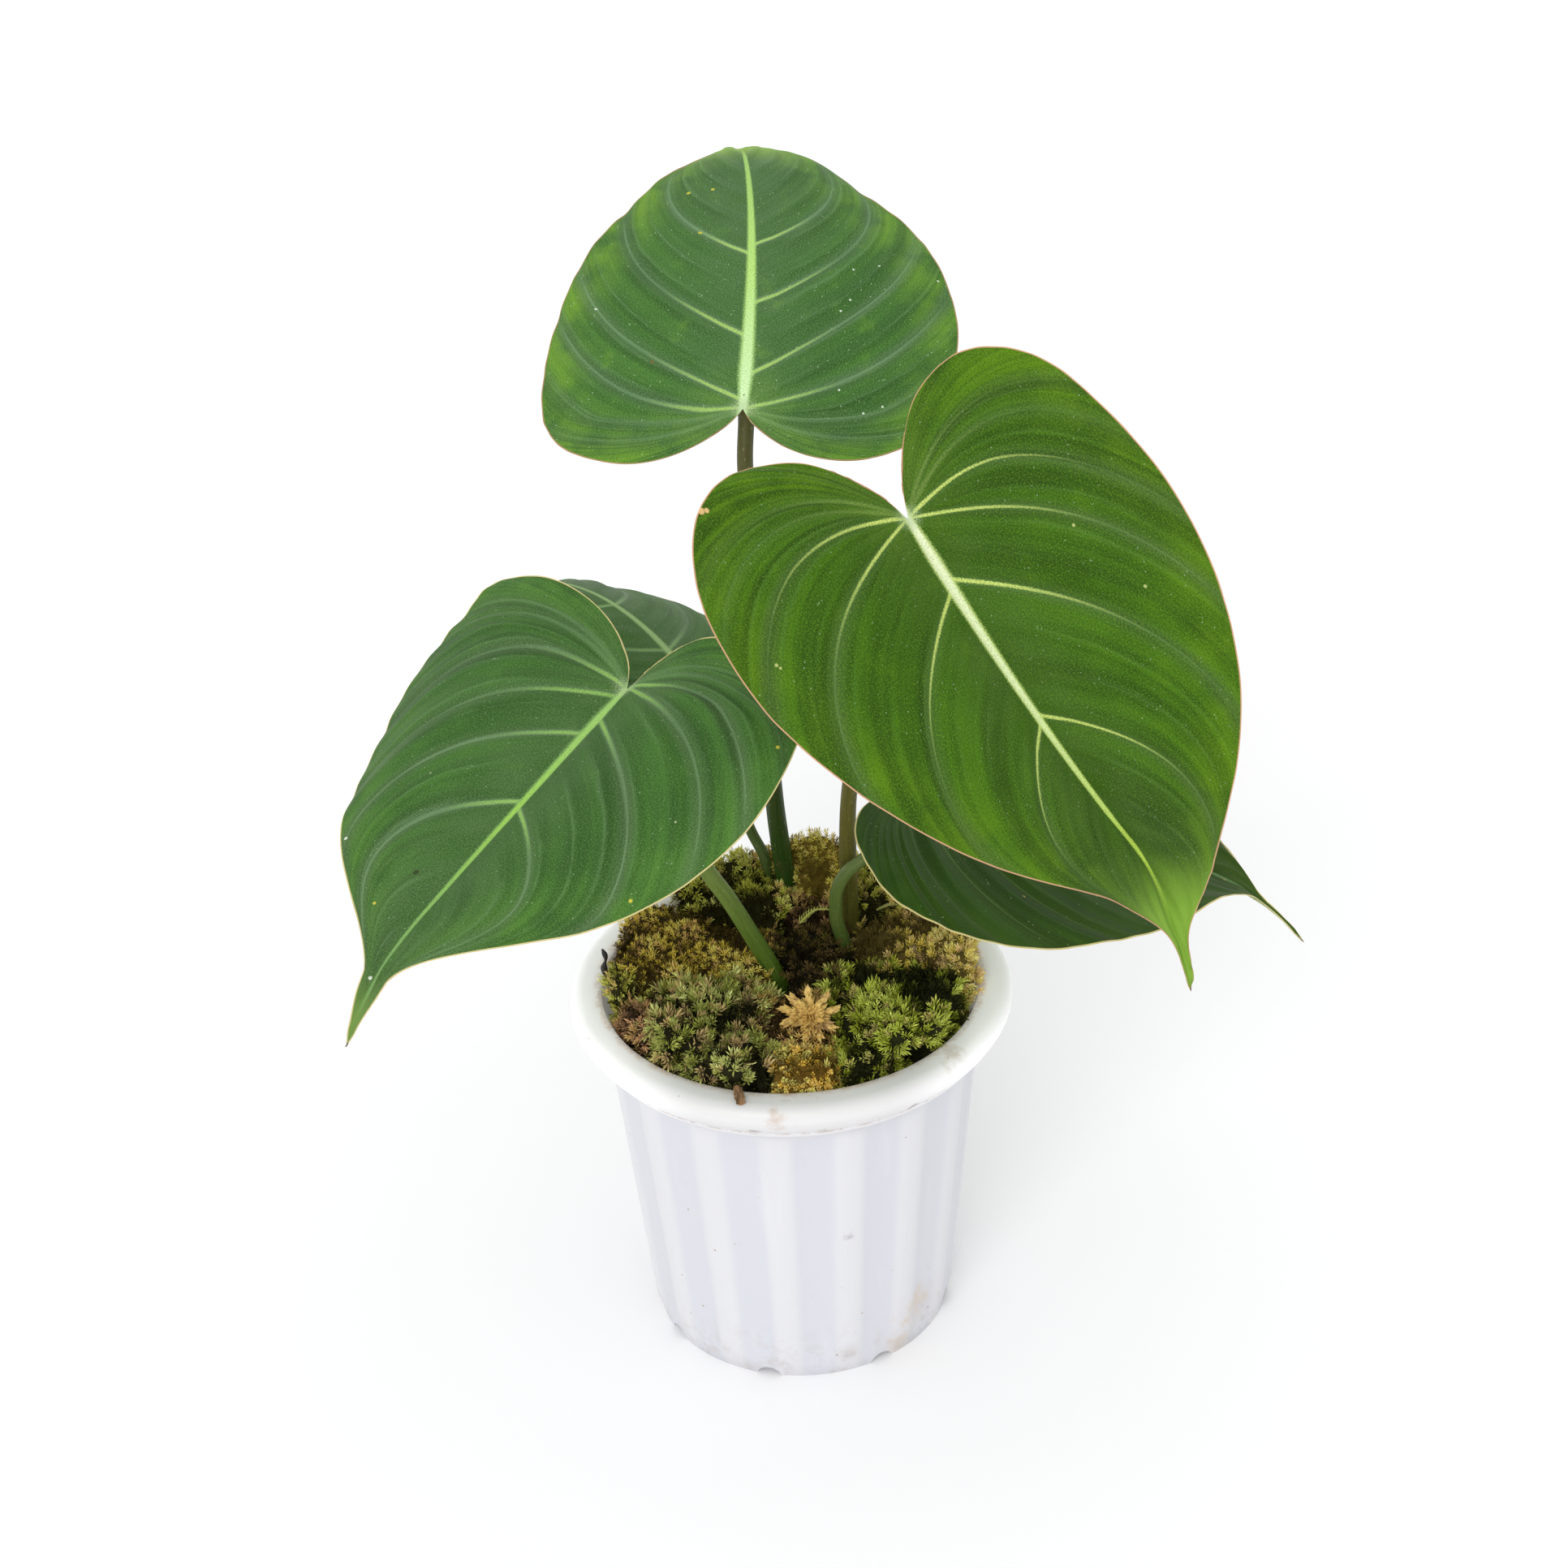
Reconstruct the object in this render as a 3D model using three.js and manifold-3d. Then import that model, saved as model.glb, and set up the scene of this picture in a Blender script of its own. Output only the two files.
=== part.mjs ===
// A young creeping aroid with heart-shaped velvet leaves, growing in a white ribbed nursery pot.
// Five blades stand on petioles that rise from a creeping stem. The stem lies in a groove of the
// potting mix, and separate moss cushions dress the mix up to the pot's rim.
// Millimetres, +Z up, origin at the middle of the pot's underside. The front is towards -Y.

import * as THREE from "three";
import { mergeVertices } from "three/addons/utils/BufferGeometryUtils.js";
import Module from "manifold-3d";

const wasm = await Module();
wasm.setup();

// ---------------------------------------------------------------- driving dimensions

const GAP = 0.3; // clearance between two neighbouring solids
const DEGREE = Math.PI / 180;
const FULL_TURN = 2 * Math.PI;
const UP = new THREE.Vector3(0, 0, 1);

const POT = {
  footRadius: 44,
  footBand: 6, // plain band round the foot, below the ribs
  neckRadius: 53.5, // outer wall just under the rim
  neckHeight: 99,
  neckBand: 3, // plain band round the neck, above the ribs
  skirtRadius: 58.6, // lower edge of the turned-down rim
  skirtHeight: 99.3,
  skirtWall: 1.3,
  rimRadius: 64,
  rollRadius: 4, // round edge between the rim's side and its top
  throatSwell: 0.6, // how far the wall steps out inside the rim
  lipRadius: 54.6, // inner edge of the lip
  lipEdge: [1.6, 0.8], // width and depth of the slant on the lip's inner edge
  height: 112,
  wall: 1.6,
  floorHeight: 3, // the floor is raised inside the foot
  padRadius: 14, // flat pad in the middle of the floor, level with the foot
  padDraft: 1,
  ribs: 16,
  ribHeight: 1.1,
  ribAzimuth: -96.7 * DEGREE, // middle of one rib
  ribCrest: 0.16, // half width of a rib's crest, as a share of the pitch
  ribFoot: 0.25, // half width of a rib's foot, as a share of the pitch
  notches: 8, // arched openings in the foot ring
  notchRadius: 4,
  notchCentre: -1.2, // height of the middle of their arches
  notchAzimuth: -60 * DEGREE,
  drains: 8,
  drainRadius: 4,
  drainCircle: 28,
};

const MIX = {
  top: 104,
  sides: 48,
  edge: 1, // slant round its top edge
  grooveHalfWidth: 7.6, // the groove that the creeping stem lies in
  grooveDepth: 15,
};
const MIX_FOOT = POT.floorHeight + POT.wall + GAP;

const RHIZOME = {
  route: [[-5, -7, 96], [7, 0, 97], [15, 10, 97], [12, 26, 97], [2, 38, 97], [-6, 44, 97]],
  radius: 5.6,
  nodes: 7, // raised rings where old leaves were
  nodeHeight: 0.7,
  endShare: 0.5, // radius of the blunt ends, as a share of the full radius
  taper: 0.08, // share of the length over which an end grows to the full radius
  sides: 8,
  steps: 20,
};

// Half of the blade's outline, as shares of the length from the sinus to the tip: distance along
// the midrib (negative on the lobe behind the sinus) and distance from the midrib.
const OUTLINE = [
  [0, 0], [-0.045, 0.022], [-0.12, 0.068], [-0.185, 0.14], [-0.215, 0.225], [-0.205, 0.31],
  [-0.155, 0.39], [-0.07, 0.445], [0.04, 0.475], [0.17, 0.475], [0.31, 0.435], [0.45, 0.365],
  [0.58, 0.28], [0.7, 0.19], [0.8, 0.115], [0.88, 0.058], [0.94, 0.024], [1, 0],
];

const BLADE = {
  thickness: 1.2,
  stations: 22, // rows of points round each half of the outline
  rows: 3, // rows of points from the midrib to the margin
  fan: 0.42, // share of the half outline whose veins start at the sinus
  veinSweep: 1.15, // power that bends the veins towards the tip
  halfWidth: 0.475, // widest half width of the outline
  lobeReach: 0.22, // how far the outline's lobe lies behind the sinus
  shoulder: 0.3, // place along the midrib that the narrowing leaves as it is
  swellPlace: 0.7, // middle and spread of the stretch that fullness widens
  swellSpread: 0.15,
  tipTaper: 0.12, // least half width near the tip, times the distance to the tip
  tipBendStart: 0.55,
  droopStart: 0.72,
  attachShare: 0.015, // place along the midrib where the petiole meets the blade
  neck: 5, // straight end of the petiole, square to the blade
};

// Each leaf: where its sinus is, how its blade is turned, and its own form. Angles in degrees.
// heading turns about +Z from +X, pitch lifts the tip, roll turns about the midrib; bend and tipBend
// arch the midrib down, lobeDroop lowers the lobes; fold and tipFold raise the halves into a V, curl
// arches each half down again; sweep and droop move the tip; taper and taperSkew narrow the halves;
// fullness widens the blade before its tip. The petiole's route runs up from the creeping stem.
const LEAVES = [
  {
    name: "front_right", sinus: [35.5, -30, 273.5], heading: -51, pitch: -42, roll: 25,
    length: 150, width: 0.91, lobe: 0.8, bend: 63, tipBend: 7, lobeDroop: 20, fold: 34, tipFold: 7,
    curl: 29, sweep: 0.19, droop: 0.19, taper: -0.15, taperSkew: -0.23, fullness: -0.02,
    route: [[14, 16, 98], [17.5, 19, 110], [18.2, 20, 119], [18, 10, 148], [18.8, 0, 174.5],
      [24.4, -8, 216], [31, -23, 255]],
    stalk: [3.4, 2.6, 2.1],
  },
  {
    name: "front_left", sinus: [-39.5, -30, 227.5], heading: -131, pitch: -19, roll: 2,
    length: 143, width: 0.97, lobe: 0.72, bend: 17, tipBend: 64, lobeDroop: -46, fold: 28, tipFold: -17,
    curl: 56, sweep: -0.12, droop: -0.13, taper: 0.08, taperSkew: -0.25, fullness: -0.15,
    route: [[1, -3, 98], [-1.8, -2, 108], [-5.4, -2, 118], [-10.7, -4, 131], [-16.5, -8, 146],
      [-22.1, -12, 159], [-32.2, -22, 197]],
    stalk: [3.9, 3.2, 2.3],
  },
  {
    name: "top", sinus: [-6, 40, 274.5], heading: 82, pitch: 34, roll: -3,
    length: 146, width: 0.89, lobe: 0.51, bend: 42, tipBend: 6, lobeDroop: 18, fold: 3, tipFold: -6,
    curl: 19, sweep: 0.15, droop: 0.04, taper: -0.28, taperSkew: 0.13, fullness: 0,
    route: [[2, 38, 98], [1.2, 38, 108], [0.3, 38, 118.4], [-1.1, 38.5, 134], [-2.2, 39, 148],
      [-4.3, 40, 210], [-6, 40, 258]],
    stalk: [3.4, 2.8, 2.4],
  },
  {
    name: "low_right", sinus: [39, -0.5, 174.5], heading: 15, pitch: -25, roll: 14,
    length: 142, width: 0.85, lobe: 0.92, bend: 9, tipBend: 7, lobeDroop: 7, fold: 13, tipFold: 10,
    curl: 25, sweep: 0, droop: 0.06, taper: -0.19, taperSkew: -0.37, fullness: -0.05,
    route: [[12, 5, 98], [16, 7.5, 108], [16, 8, 117.3], [14, 7, 128], [14.7, 6, 138.4],
      [17.9, 5, 145], [21.9, 4, 149], [30.8, 1, 161.2]],
    stalk: [3.0, 2.3, 1.8],
  },
  {
    name: "back_left", sinus: [-24.5, 60, 178.5], heading: 122, pitch: 22, roll: 8,
    length: 118, width: 0.82, lobe: 1, bend: 61, tipBend: 5, lobeDroop: 10, fold: -8, tipFold: 0,
    curl: 25, sweep: 0, droop: 0.04, taper: 0, taperSkew: 0, fullness: 0,
    route: [[-3.6, 42.2, 98], [-5, 42.3, 110], [-5, 41.5, 121], [-6.2, 42, 128], [-9.9, 46, 135],
      [-16.2, 53, 156]],
    stalk: [2.5, 1.9, 1.6],
  },
];

const PETIOLE_MESH = { sides: 8, steps: 16 };

// Moss cushions: place of the middle, size of the patch that it claims, and height of its crest.
const CUSHIONS = [
  { name: "moss_left", x: -29, y: 10, radius: 22, crest: 121 },
  { name: "moss_back_left", x: -17, y: 33, radius: 15, crest: 123 },
  { name: "moss_back", x: 9, y: 45, radius: 13, crest: 127 },
  { name: "moss_back_right", x: 28, y: 36, radius: 14, crest: 122 },
  { name: "moss_middle_back", x: 8, y: 29, radius: 9, crest: 119 },
  { name: "moss_right", x: 36, y: 10, radius: 17, crest: 120 },
  { name: "moss_centre", x: 7, y: 5, radius: 12, crest: 120 },
  { name: "moss_front_right", x: 31, y: -22, radius: 20, crest: 120 },
  { name: "moss_right_edge", x: 48, y: -7, radius: 8, crest: 118 },
  { name: "moss_front_low", x: 20, y: -45, radius: 9, crest: 114 },
  { name: "moss_straw_rosette", x: 3, y: -25, radius: 12, crest: 117 },
  { name: "moss_golden", x: 3, y: -44, radius: 10, crest: 115 },
  { name: "moss_front_left", x: -15, y: -42, radius: 10, crest: 116 },
  { name: "moss_blue_green", x: -26, y: -20, radius: 15, crest: 120 },
  { name: "moss_brown_edge", x: -42, y: -22, radius: 9, crest: 115 },
  { name: "moss_left_edge", x: -48, y: -5, radius: 7, crest: 117 },
  { name: "moss_far_left", x: -42, y: 27, radius: 12, crest: 117 },
];
const CUSHION = {
  sides: 14,
  shoulders: [[1, 0.45], [0.84, 0.78], [0.5, 0.95]], // the dome, as shares of its reach and rise
  clearance: 0.7, // gap between two cushions
  petioleClearance: 0.5,
  reach: 1.3, // furthest edge, times the claimed radius
  lump: 0.5, // height of the surface's unevenness
  lumpTurn: [0.9, 0.8], // its change per millimetre across and along
};

// Loose things on the moss: bent twigs and sprigs with a thickness at each end.
const SPRIGS = [
  { name: "black_root_tip", radii: [1.2, 0.7], route: [[-52.5, 1, 113], [-53, 1, 116], [-54.6, 1.6, 121.5]] },
  { name: "fern_sprig", radii: [0.7, 0.5], route: [[3.4, 21, 117.1], [8, 24, 119.6], [13, 25.2, 118.9]] },
  { name: "pale_sprig", radii: [0.6, 0.5], route: [[26.4, 24.8, 118.2], [30, 23.8, 120.3], [34.8, 26.2, 119]] },
];
const SPRIG_MESH = { sides: 6, steps: 5 };
const HUSK = { name: "seed_husk", centre: [35.7, 1.1, 119.5], radii: [1.2, 1.9, 1.0], turn: -20 * DEGREE };
const FLAKE = { name: "dry_flake", centre: [-15.5, -56.2, 112.65], size: [5, 7, 0.7], turn: 20 * DEGREE };

// ---------------------------------------------------------------- solids

/** Keeps the positions, merges shared points, drops empty triangles and turns the faces outward. */
function closed(source, tolerance = 1e-4) {
  const bare = new THREE.BufferGeometry();
  bare.setAttribute("position", source.getAttribute("position").clone());
  bare.setIndex(source.index);
  const merged = mergeVertices(bare, tolerance);
  const index = [...merged.index.array];
  const kept = [];
  for (let i = 0; i < index.length; i += 3) {
    const [a, b, c] = index.slice(i, i + 3);
    if (a !== b && b !== c && c !== a) {
      kept.push(a, b, c);
    }
  }
  merged.setIndex(signedVolume(merged, kept) < 0 ? kept.reverse() : kept);
  return merged;
}

/** Signed volume of a closed indexed surface: negative where its faces point inwards. */
function signedVolume(geometry, index) {
  const points = geometry.getAttribute("position");
  const [a, b, c] = [new THREE.Vector3(), new THREE.Vector3(), new THREE.Vector3()];
  let volume = 0;
  for (let i = 0; i < index.length; i += 3) {
    a.fromBufferAttribute(points, index[i]);
    b.fromBufferAttribute(points, index[i + 1]);
    c.fromBufferAttribute(points, index[i + 2]);
    volume += a.dot(b.cross(c)) / 6;
  }
  return volume;
}

function toManifold(geometry) {
  const solid = closed(geometry);
  return new wasm.Manifold(new wasm.Mesh({
    numProp: 3,
    vertProperties: new Float32Array(solid.getAttribute("position").array),
    triVerts: new Uint32Array(solid.index.array),
  }));
}

function fromManifold(solid) {
  const mesh = solid.getMesh();
  const geometry = new THREE.BufferGeometry();
  geometry.setAttribute("position", new THREE.BufferAttribute(mesh.vertProperties, 3));
  geometry.setIndex(new THREE.BufferAttribute(mesh.triVerts, 1));
  return geometry;
}

/** A turned solid about +Z, from [radius, height] points that start and end on the axis. */
function turned(profile, sides) {
  const points = profile.map(([radius, height]) => new THREE.Vector2(radius, height));
  return new THREE.LatheGeometry(points, sides).rotateX(Math.PI / 2);
}

/** Moves each point of a geometry with a function that changes the point given to it. */
function moveEachPoint(geometry, change) {
  const points = geometry.getAttribute("position");
  const point = new THREE.Vector3();
  for (let i = 0; i < points.count; i += 1) {
    change(point.fromBufferAttribute(points, i));
    points.setXYZ(i, point.x, point.y, point.z);
  }
  return geometry;
}

function curveThrough(route) {
  return new THREE.CatmullRomCurve3(route.map((place) => new THREE.Vector3(...place)), false, "centripetal");
}

/** A round stalk along a route: a turned column of the given radii at even heights, bent to the route. */
function stalk(route, radii, sides, steps) {
  const curve = curveThrough(route);
  const frames = curve.computeFrenetFrames(steps);
  const profile = [[0, 0]];
  for (let k = 0; k <= steps; k += 1) {
    profile.push([stalkRadius(radii, k / steps), k]);
  }
  profile.push([0, steps]);
  return moveEachPoint(turned(profile, sides), (point) => {
    const k = Math.round(point.z);
    const [across, up] = [point.x, point.y];
    point.copy(curve.getPointAt(k / steps));
    point.addScaledVector(frames.normals[k], across);
    point.addScaledVector(frames.binormals[k], up);
  });
}

/** Radius at a share of the length, between radii that are evenly spaced along a stalk. */
function stalkRadius(radii, share) {
  const place = share * (radii.length - 1);
  const k = Math.min(Math.floor(place), radii.length - 2);
  return THREE.MathUtils.lerp(radii[k], radii[k + 1], place - k);
}

// ---------------------------------------------------------------- pot

const WALL_SLOPE = (POT.neckRadius - POT.footRadius) / POT.neckHeight;

/** Radius of the wall's outside between the ribs, at a height. */
const wallRadius = (height) => POT.footRadius + WALL_SLOPE * height;

/** The wall's profile from the middle of the pad, round the foot and rim, to the middle of the floor. */
function potProfile() {
  const { footRadius, neckRadius, neckHeight, rimRadius, rollRadius, lipRadius, height, wall } = POT;
  const rollCentre = [rimRadius - rollRadius, height - rollRadius];
  const rolledEdge = [0, 45, 90].map((angle) => [
    rollCentre[0] + rollRadius * Math.cos(angle * DEGREE),
    rollCentre[1] + rollRadius * Math.sin(angle * DEGREE),
  ]);
  const floorTop = POT.floorHeight + wall;
  return [
    [0, 0],
    [POT.padRadius, 0],
    [POT.padRadius + POT.padDraft, POT.floorHeight],
    [footRadius - wall, POT.floorHeight],
    [footRadius - wall, 0],
    [footRadius, 0],
    [wallRadius(POT.footBand), POT.footBand],
    [wallRadius(neckHeight - POT.neckBand), neckHeight - POT.neckBand],
    [neckRadius, neckHeight],
    [neckRadius + POT.throatSwell, rollCentre[1] - POT.throatSwell],
    [rollCentre[0] - wall, height - wall],
    [rimRadius - wall, rollCentre[1]],
    [POT.skirtRadius - POT.skirtWall, POT.skirtHeight],
    [POT.skirtRadius, POT.skirtHeight],
    ...rolledEdge,
    [lipRadius + POT.lipEdge[0], height],
    [lipRadius, height - POT.lipEdge[1]],
    [neckRadius - wall + POT.throatSwell, rollCentre[1] - wall],
    [neckRadius - wall, neckHeight],
    [wallRadius(floorTop) - wall, floorTop],
    [0, floorTop],
  ];
}

/** Presses the soft ribs into the wall's outside; the four points of each pitch are its two edges. */
function ribbedWall(geometry) {
  const pitch = FULL_TURN / POT.ribs;
  const shares = [-POT.ribCrest, POT.ribCrest, POT.ribFoot, 1 - POT.ribFoot];
  const ribbed = (height) => height > POT.footBand / 2 && height < POT.neckHeight - POT.neckBand / 2;
  return moveEachPoint(geometry, (point) => {
    const radius = Math.hypot(point.x, point.y);
    const turn = Math.atan2(point.y, point.x) - POT.ribAzimuth;
    const step = Math.round((THREE.MathUtils.euclideanModulo(turn, FULL_TURN) / pitch) * shares.length);
    const corner = step % shares.length;
    const place = Math.floor(step / shares.length) + shares[corner];
    const outside = Math.abs(radius - wallRadius(point.z)) < POT.wall / 2;
    const raised = outside && ribbed(point.z) && corner < 2 ? POT.ribHeight : 0;
    const azimuth = POT.ribAzimuth + place * pitch;
    point.x = (radius + raised) * Math.cos(azimuth);
    point.y = (radius + raised) * Math.sin(azimuth);
  });
}

/** A plain round column about an axis through a place, used to cut holes. */
function cutter(radius, length, sides, direction, place) {
  const column = new THREE.CylinderGeometry(radius, radius, length, sides);
  const turn = new THREE.Quaternion().setFromUnitVectors(new THREE.Vector3(0, 1, 0), direction);
  column.applyQuaternion(turn);
  column.translate(place.x, place.y, place.z);
  return toManifold(column);
}

function potGeometry() {
  const body = turned(potProfile(), POT.ribs * 4);
  body.rotateZ(POT.ribAzimuth + Math.PI / 2);
  let pot = toManifold(ribbedWall(body));
  const notchLength = 6 * POT.wall;
  const drainLength = 4 * POT.floorHeight;
  for (let k = 0; k < POT.notches; k += 1) {
    const azimuth = POT.notchAzimuth + (k * FULL_TURN) / POT.notches;
    const outward = new THREE.Vector3(Math.cos(azimuth), Math.sin(azimuth), 0);
    const place = outward.clone().multiplyScalar(POT.footRadius).setZ(POT.notchCentre);
    pot = pot.subtract(cutter(POT.notchRadius, notchLength, 12, outward, place));
  }
  for (let k = 0; k < POT.drains; k += 1) {
    const azimuth = (k * FULL_TURN) / POT.drains;
    const place = new THREE.Vector3(POT.drainCircle, 0, POT.floorHeight).applyAxisAngle(UP, azimuth);
    pot = pot.subtract(cutter(POT.drainRadius, drainLength, 10, UP, place));
  }
  return fromManifold(pot);
}

// ---------------------------------------------------------------- mix and creeping stem

/** Outline of a band of even width along a route, seen from above, with round ends. */
function bandOutline(route, halfWidth, steps = 12) {
  const curve = curveThrough(route.map(([x, y]) => [x, y, 0]));
  const [sideA, sideB] = [[], []];
  for (let k = 0; k <= steps; k += 1) {
    const point = curve.getPointAt(k / steps);
    const along = curve.getTangentAt(k / steps);
    sideA.push(new THREE.Vector2(point.x - along.y * halfWidth, point.y + along.x * halfWidth));
    sideB.unshift(new THREE.Vector2(point.x + along.y * halfWidth, point.y - along.x * halfWidth));
  }
  const cap = (share, sign) => {
    const point = curve.getPointAt(share);
    const along = curve.getTangentAt(share).multiplyScalar(sign * halfWidth);
    return new THREE.Vector2(point.x + along.x, point.y + along.y);
  };
  return new THREE.Shape([...sideA, cap(1, 1), ...sideB, cap(0, -1)]);
}

/** The potting mix fills the pot to MIX.top and has an open groove for the creeping stem. */
function mixGeometry() {
  const fillRadius = (height) => wallRadius(height) - POT.wall - 1.5 * GAP;
  const profile = [
    [0, MIX_FOOT],
    [fillRadius(MIX_FOOT), MIX_FOOT],
    [fillRadius(POT.neckHeight), POT.neckHeight],
    [fillRadius(POT.neckHeight), MIX.top - MIX.edge],
    [fillRadius(POT.neckHeight) - MIX.edge, MIX.top],
    [0, MIX.top],
  ];
  const groove = new THREE.ExtrudeGeometry(bandOutline(RHIZOME.route, MIX.grooveHalfWidth), {
    depth: 2 * MIX.grooveDepth,
    bevelEnabled: false,
  });
  groove.translate(0, 0, MIX.top - MIX.grooveDepth);
  return fromManifold(toManifold(turned(profile, MIX.sides)).subtract(toManifold(groove)));
}

/** The creeping stem, with a raised ring at each node and a blunt growing tip. */
function rhizomeRadii() {
  return Array.from({ length: RHIZOME.steps + 1 }, (_, k) => {
    const share = k / RHIZOME.steps;
    const ring = Math.max(0, Math.cos(share * RHIZOME.nodes * FULL_TURN)) * RHIZOME.nodeHeight;
    const fromEnd = Math.min(1, Math.min(share, 1 - share) / RHIZOME.taper);
    const end = THREE.MathUtils.lerp(RHIZOME.endShare, 1, Math.sqrt(fromEnd));
    return (RHIZOME.radius - RHIZOME.nodeHeight + ring) * end;
  });
}

// ---------------------------------------------------------------- leaves

const smooth = (share) => THREE.MathUtils.smoothstep(share, 0, 1);

/** How far a share of the length is from a start to the tip: 0 before the start and 1 at the tip. */
const shareAfter = (share, start) => THREE.MathUtils.clamp((share - start) / (1 - start), 0, 1);

const outlineCurve = new THREE.SplineCurve(OUTLINE.map((place) => new THREE.Vector2(...place)));

/** Slope of the blade's middle line at a share of its length; negative shares lie behind the sinus. */
function spineSlope(leaf, share) {
  if (share < 0) {
    return leaf.lobeDroop * DEGREE * Math.min(-share / BLADE.lobeReach, 2);
  }
  return -(leaf.bend * share + leaf.tipBend * smooth(shareAfter(share, BLADE.tipBendStart))) * DEGREE;
}

/** Reach and rise of the middle line, as shares of the length, summed in small steps from the sinus. */
function spinePoint(leaf, share) {
  const steps = 24;
  const step = share / steps;
  let [reach, rise] = [0, 0];
  for (let k = 0; k < steps; k += 1) {
    const slope = spineSlope(leaf, (k + 0.5) * step);
    reach += Math.cos(slope) * step;
    rise += Math.sin(slope) * step;
  }
  return [reach, rise];
}

/** Place of a point of the blade, from its share along the midrib and signed distance across it. */
function bladePoint(leaf, share, across) {
  const side = Math.sign(across);
  const forward = THREE.MathUtils.clamp(share, 0, 1);
  const fold = (leaf.fold + leaf.tipFold * forward) * DEGREE;
  const turnPerMillimetre = (leaf.curl * DEGREE) / (BLADE.halfWidth * leaf.length * leaf.width);
  const edgeAngle = fold - turnPerMillimetre * Math.abs(across);
  const width = (Math.sin(fold) - Math.sin(edgeAngle)) / turnPerMillimetre;
  const lift = (Math.cos(edgeAngle) - Math.cos(fold)) / turnPerMillimetre;
  const slope = spineSlope(leaf, share);
  const [reach, rise] = spinePoint(leaf, share);
  const point = new THREE.Vector3(
    reach * leaf.length - Math.sin(slope) * lift,
    side * width + leaf.sweep * leaf.length * forward ** 2,
    rise * leaf.length + Math.cos(slope) * lift,
  );
  point.applyAxisAngle(new THREE.Vector3(1, 0, 0), leaf.roll * DEGREE);
  point.applyAxisAngle(new THREE.Vector3(0, 1, 0), -leaf.pitch * DEGREE);
  point.applyAxisAngle(UP, leaf.heading * DEGREE);
  point.z -= leaf.droop * leaf.length * shareAfter(share, BLADE.droopStart) ** 2;
  return point.add(new THREE.Vector3(...leaf.sinus));
}

/** Share along the midrib and signed distance across it of the margin, at a share of the half outline. */
function marginPlace(leaf, share, side) {
  const { x: along, y: half } = outlineCurve.getPoint(share);
  const swell = Math.exp(-(((along - BLADE.swellPlace) / BLADE.swellSpread) ** 2));
  const shaped = along > BLADE.shoulder
    ? Math.max(half + leaf.fullness * swell, BLADE.tipTaper * (1 - along))
    : half;
  const forward = THREE.MathUtils.clamp(along, 0, 1);
  const narrowing = 1 - (leaf.taper + leaf.taperSkew * side) * (forward - BLADE.shoulder);
  const across = side * shaped * leaf.length * leaf.width * narrowing;
  return [along < 0 ? along * leaf.lobe : along, across];
}

/** The blade's middle surface: rows from the margin's points to where their veins leave the midrib. */
function bladeSurface(leaf) {
  const positions = [];
  const index = [];
  for (const side of [1, -1]) {
    const first = positions.length / 3;
    for (let i = 0; i <= BLADE.stations; i += 1) {
      const share = i / BLADE.stations;
      const start = Math.max(0, (share - BLADE.fan) / (1 - BLADE.fan));
      const [along, across] = marginPlace(leaf, share, side);
      for (let j = 0; j <= BLADE.rows; j += 1) {
        const outward = j / BLADE.rows;
        const place = start + (along - start) * outward ** BLADE.veinSweep;
        const point = bladePoint(leaf, place, across * outward);
        positions.push(point.x, point.y, point.z);
      }
    }
    const row = BLADE.rows + 1;
    for (let i = 0; i < BLADE.stations; i += 1) {
      for (let j = 0; j < BLADE.rows; j += 1) {
        const a = first + i * row + j;
        const [b, c, d] = [a + row, a + row + 1, a + 1];
        index.push(...(side > 0 ? [a, b, c, a, c, d] : [a, c, b, a, d, c]));
      }
    }
  }
  const surface = new THREE.BufferGeometry();
  surface.setAttribute("position", new THREE.Float32BufferAttribute(positions, 3));
  surface.setIndex(index);
  return mergeVertices(surface, 1e-3);
}

/** Gives an open surface a thickness, half to each side, and walls along its free edges. */
function thicken(surface, thickness) {
  surface.computeVertexNormals();
  const points = surface.getAttribute("position");
  const normals = surface.getAttribute("normal");
  const count = points.count;
  const positions = [];
  for (const offset of [thickness / 2, -thickness / 2]) {
    for (let i = 0; i < count; i += 1) {
      positions.push(
        points.getX(i) + normals.getX(i) * offset,
        points.getY(i) + normals.getY(i) * offset,
        points.getZ(i) + normals.getZ(i) * offset,
      );
    }
  }
  const index = [];
  const edges = new Set();
  for (let i = 0; i < surface.index.count; i += 3) {
    const [a, b, c] = surface.index.array.slice(i, i + 3);
    if (a !== b && b !== c && c !== a) {
      index.push(a, b, c, a + count, c + count, b + count);
      [[a, b], [b, c], [c, a]].forEach(([from, to]) => edges.add(`${from}_${to}`));
    }
  }
  for (const edge of edges) {
    const [from, to] = edge.split("_").map(Number);
    if (!edges.has(`${to}_${from}`)) {
      index.push(from, from + count, to + count, from, to + count, to);
    }
  }
  const solid = new THREE.BufferGeometry();
  solid.setAttribute("position", new THREE.Float32BufferAttribute(positions, 3));
  solid.setIndex(index);
  return solid;
}

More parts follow.
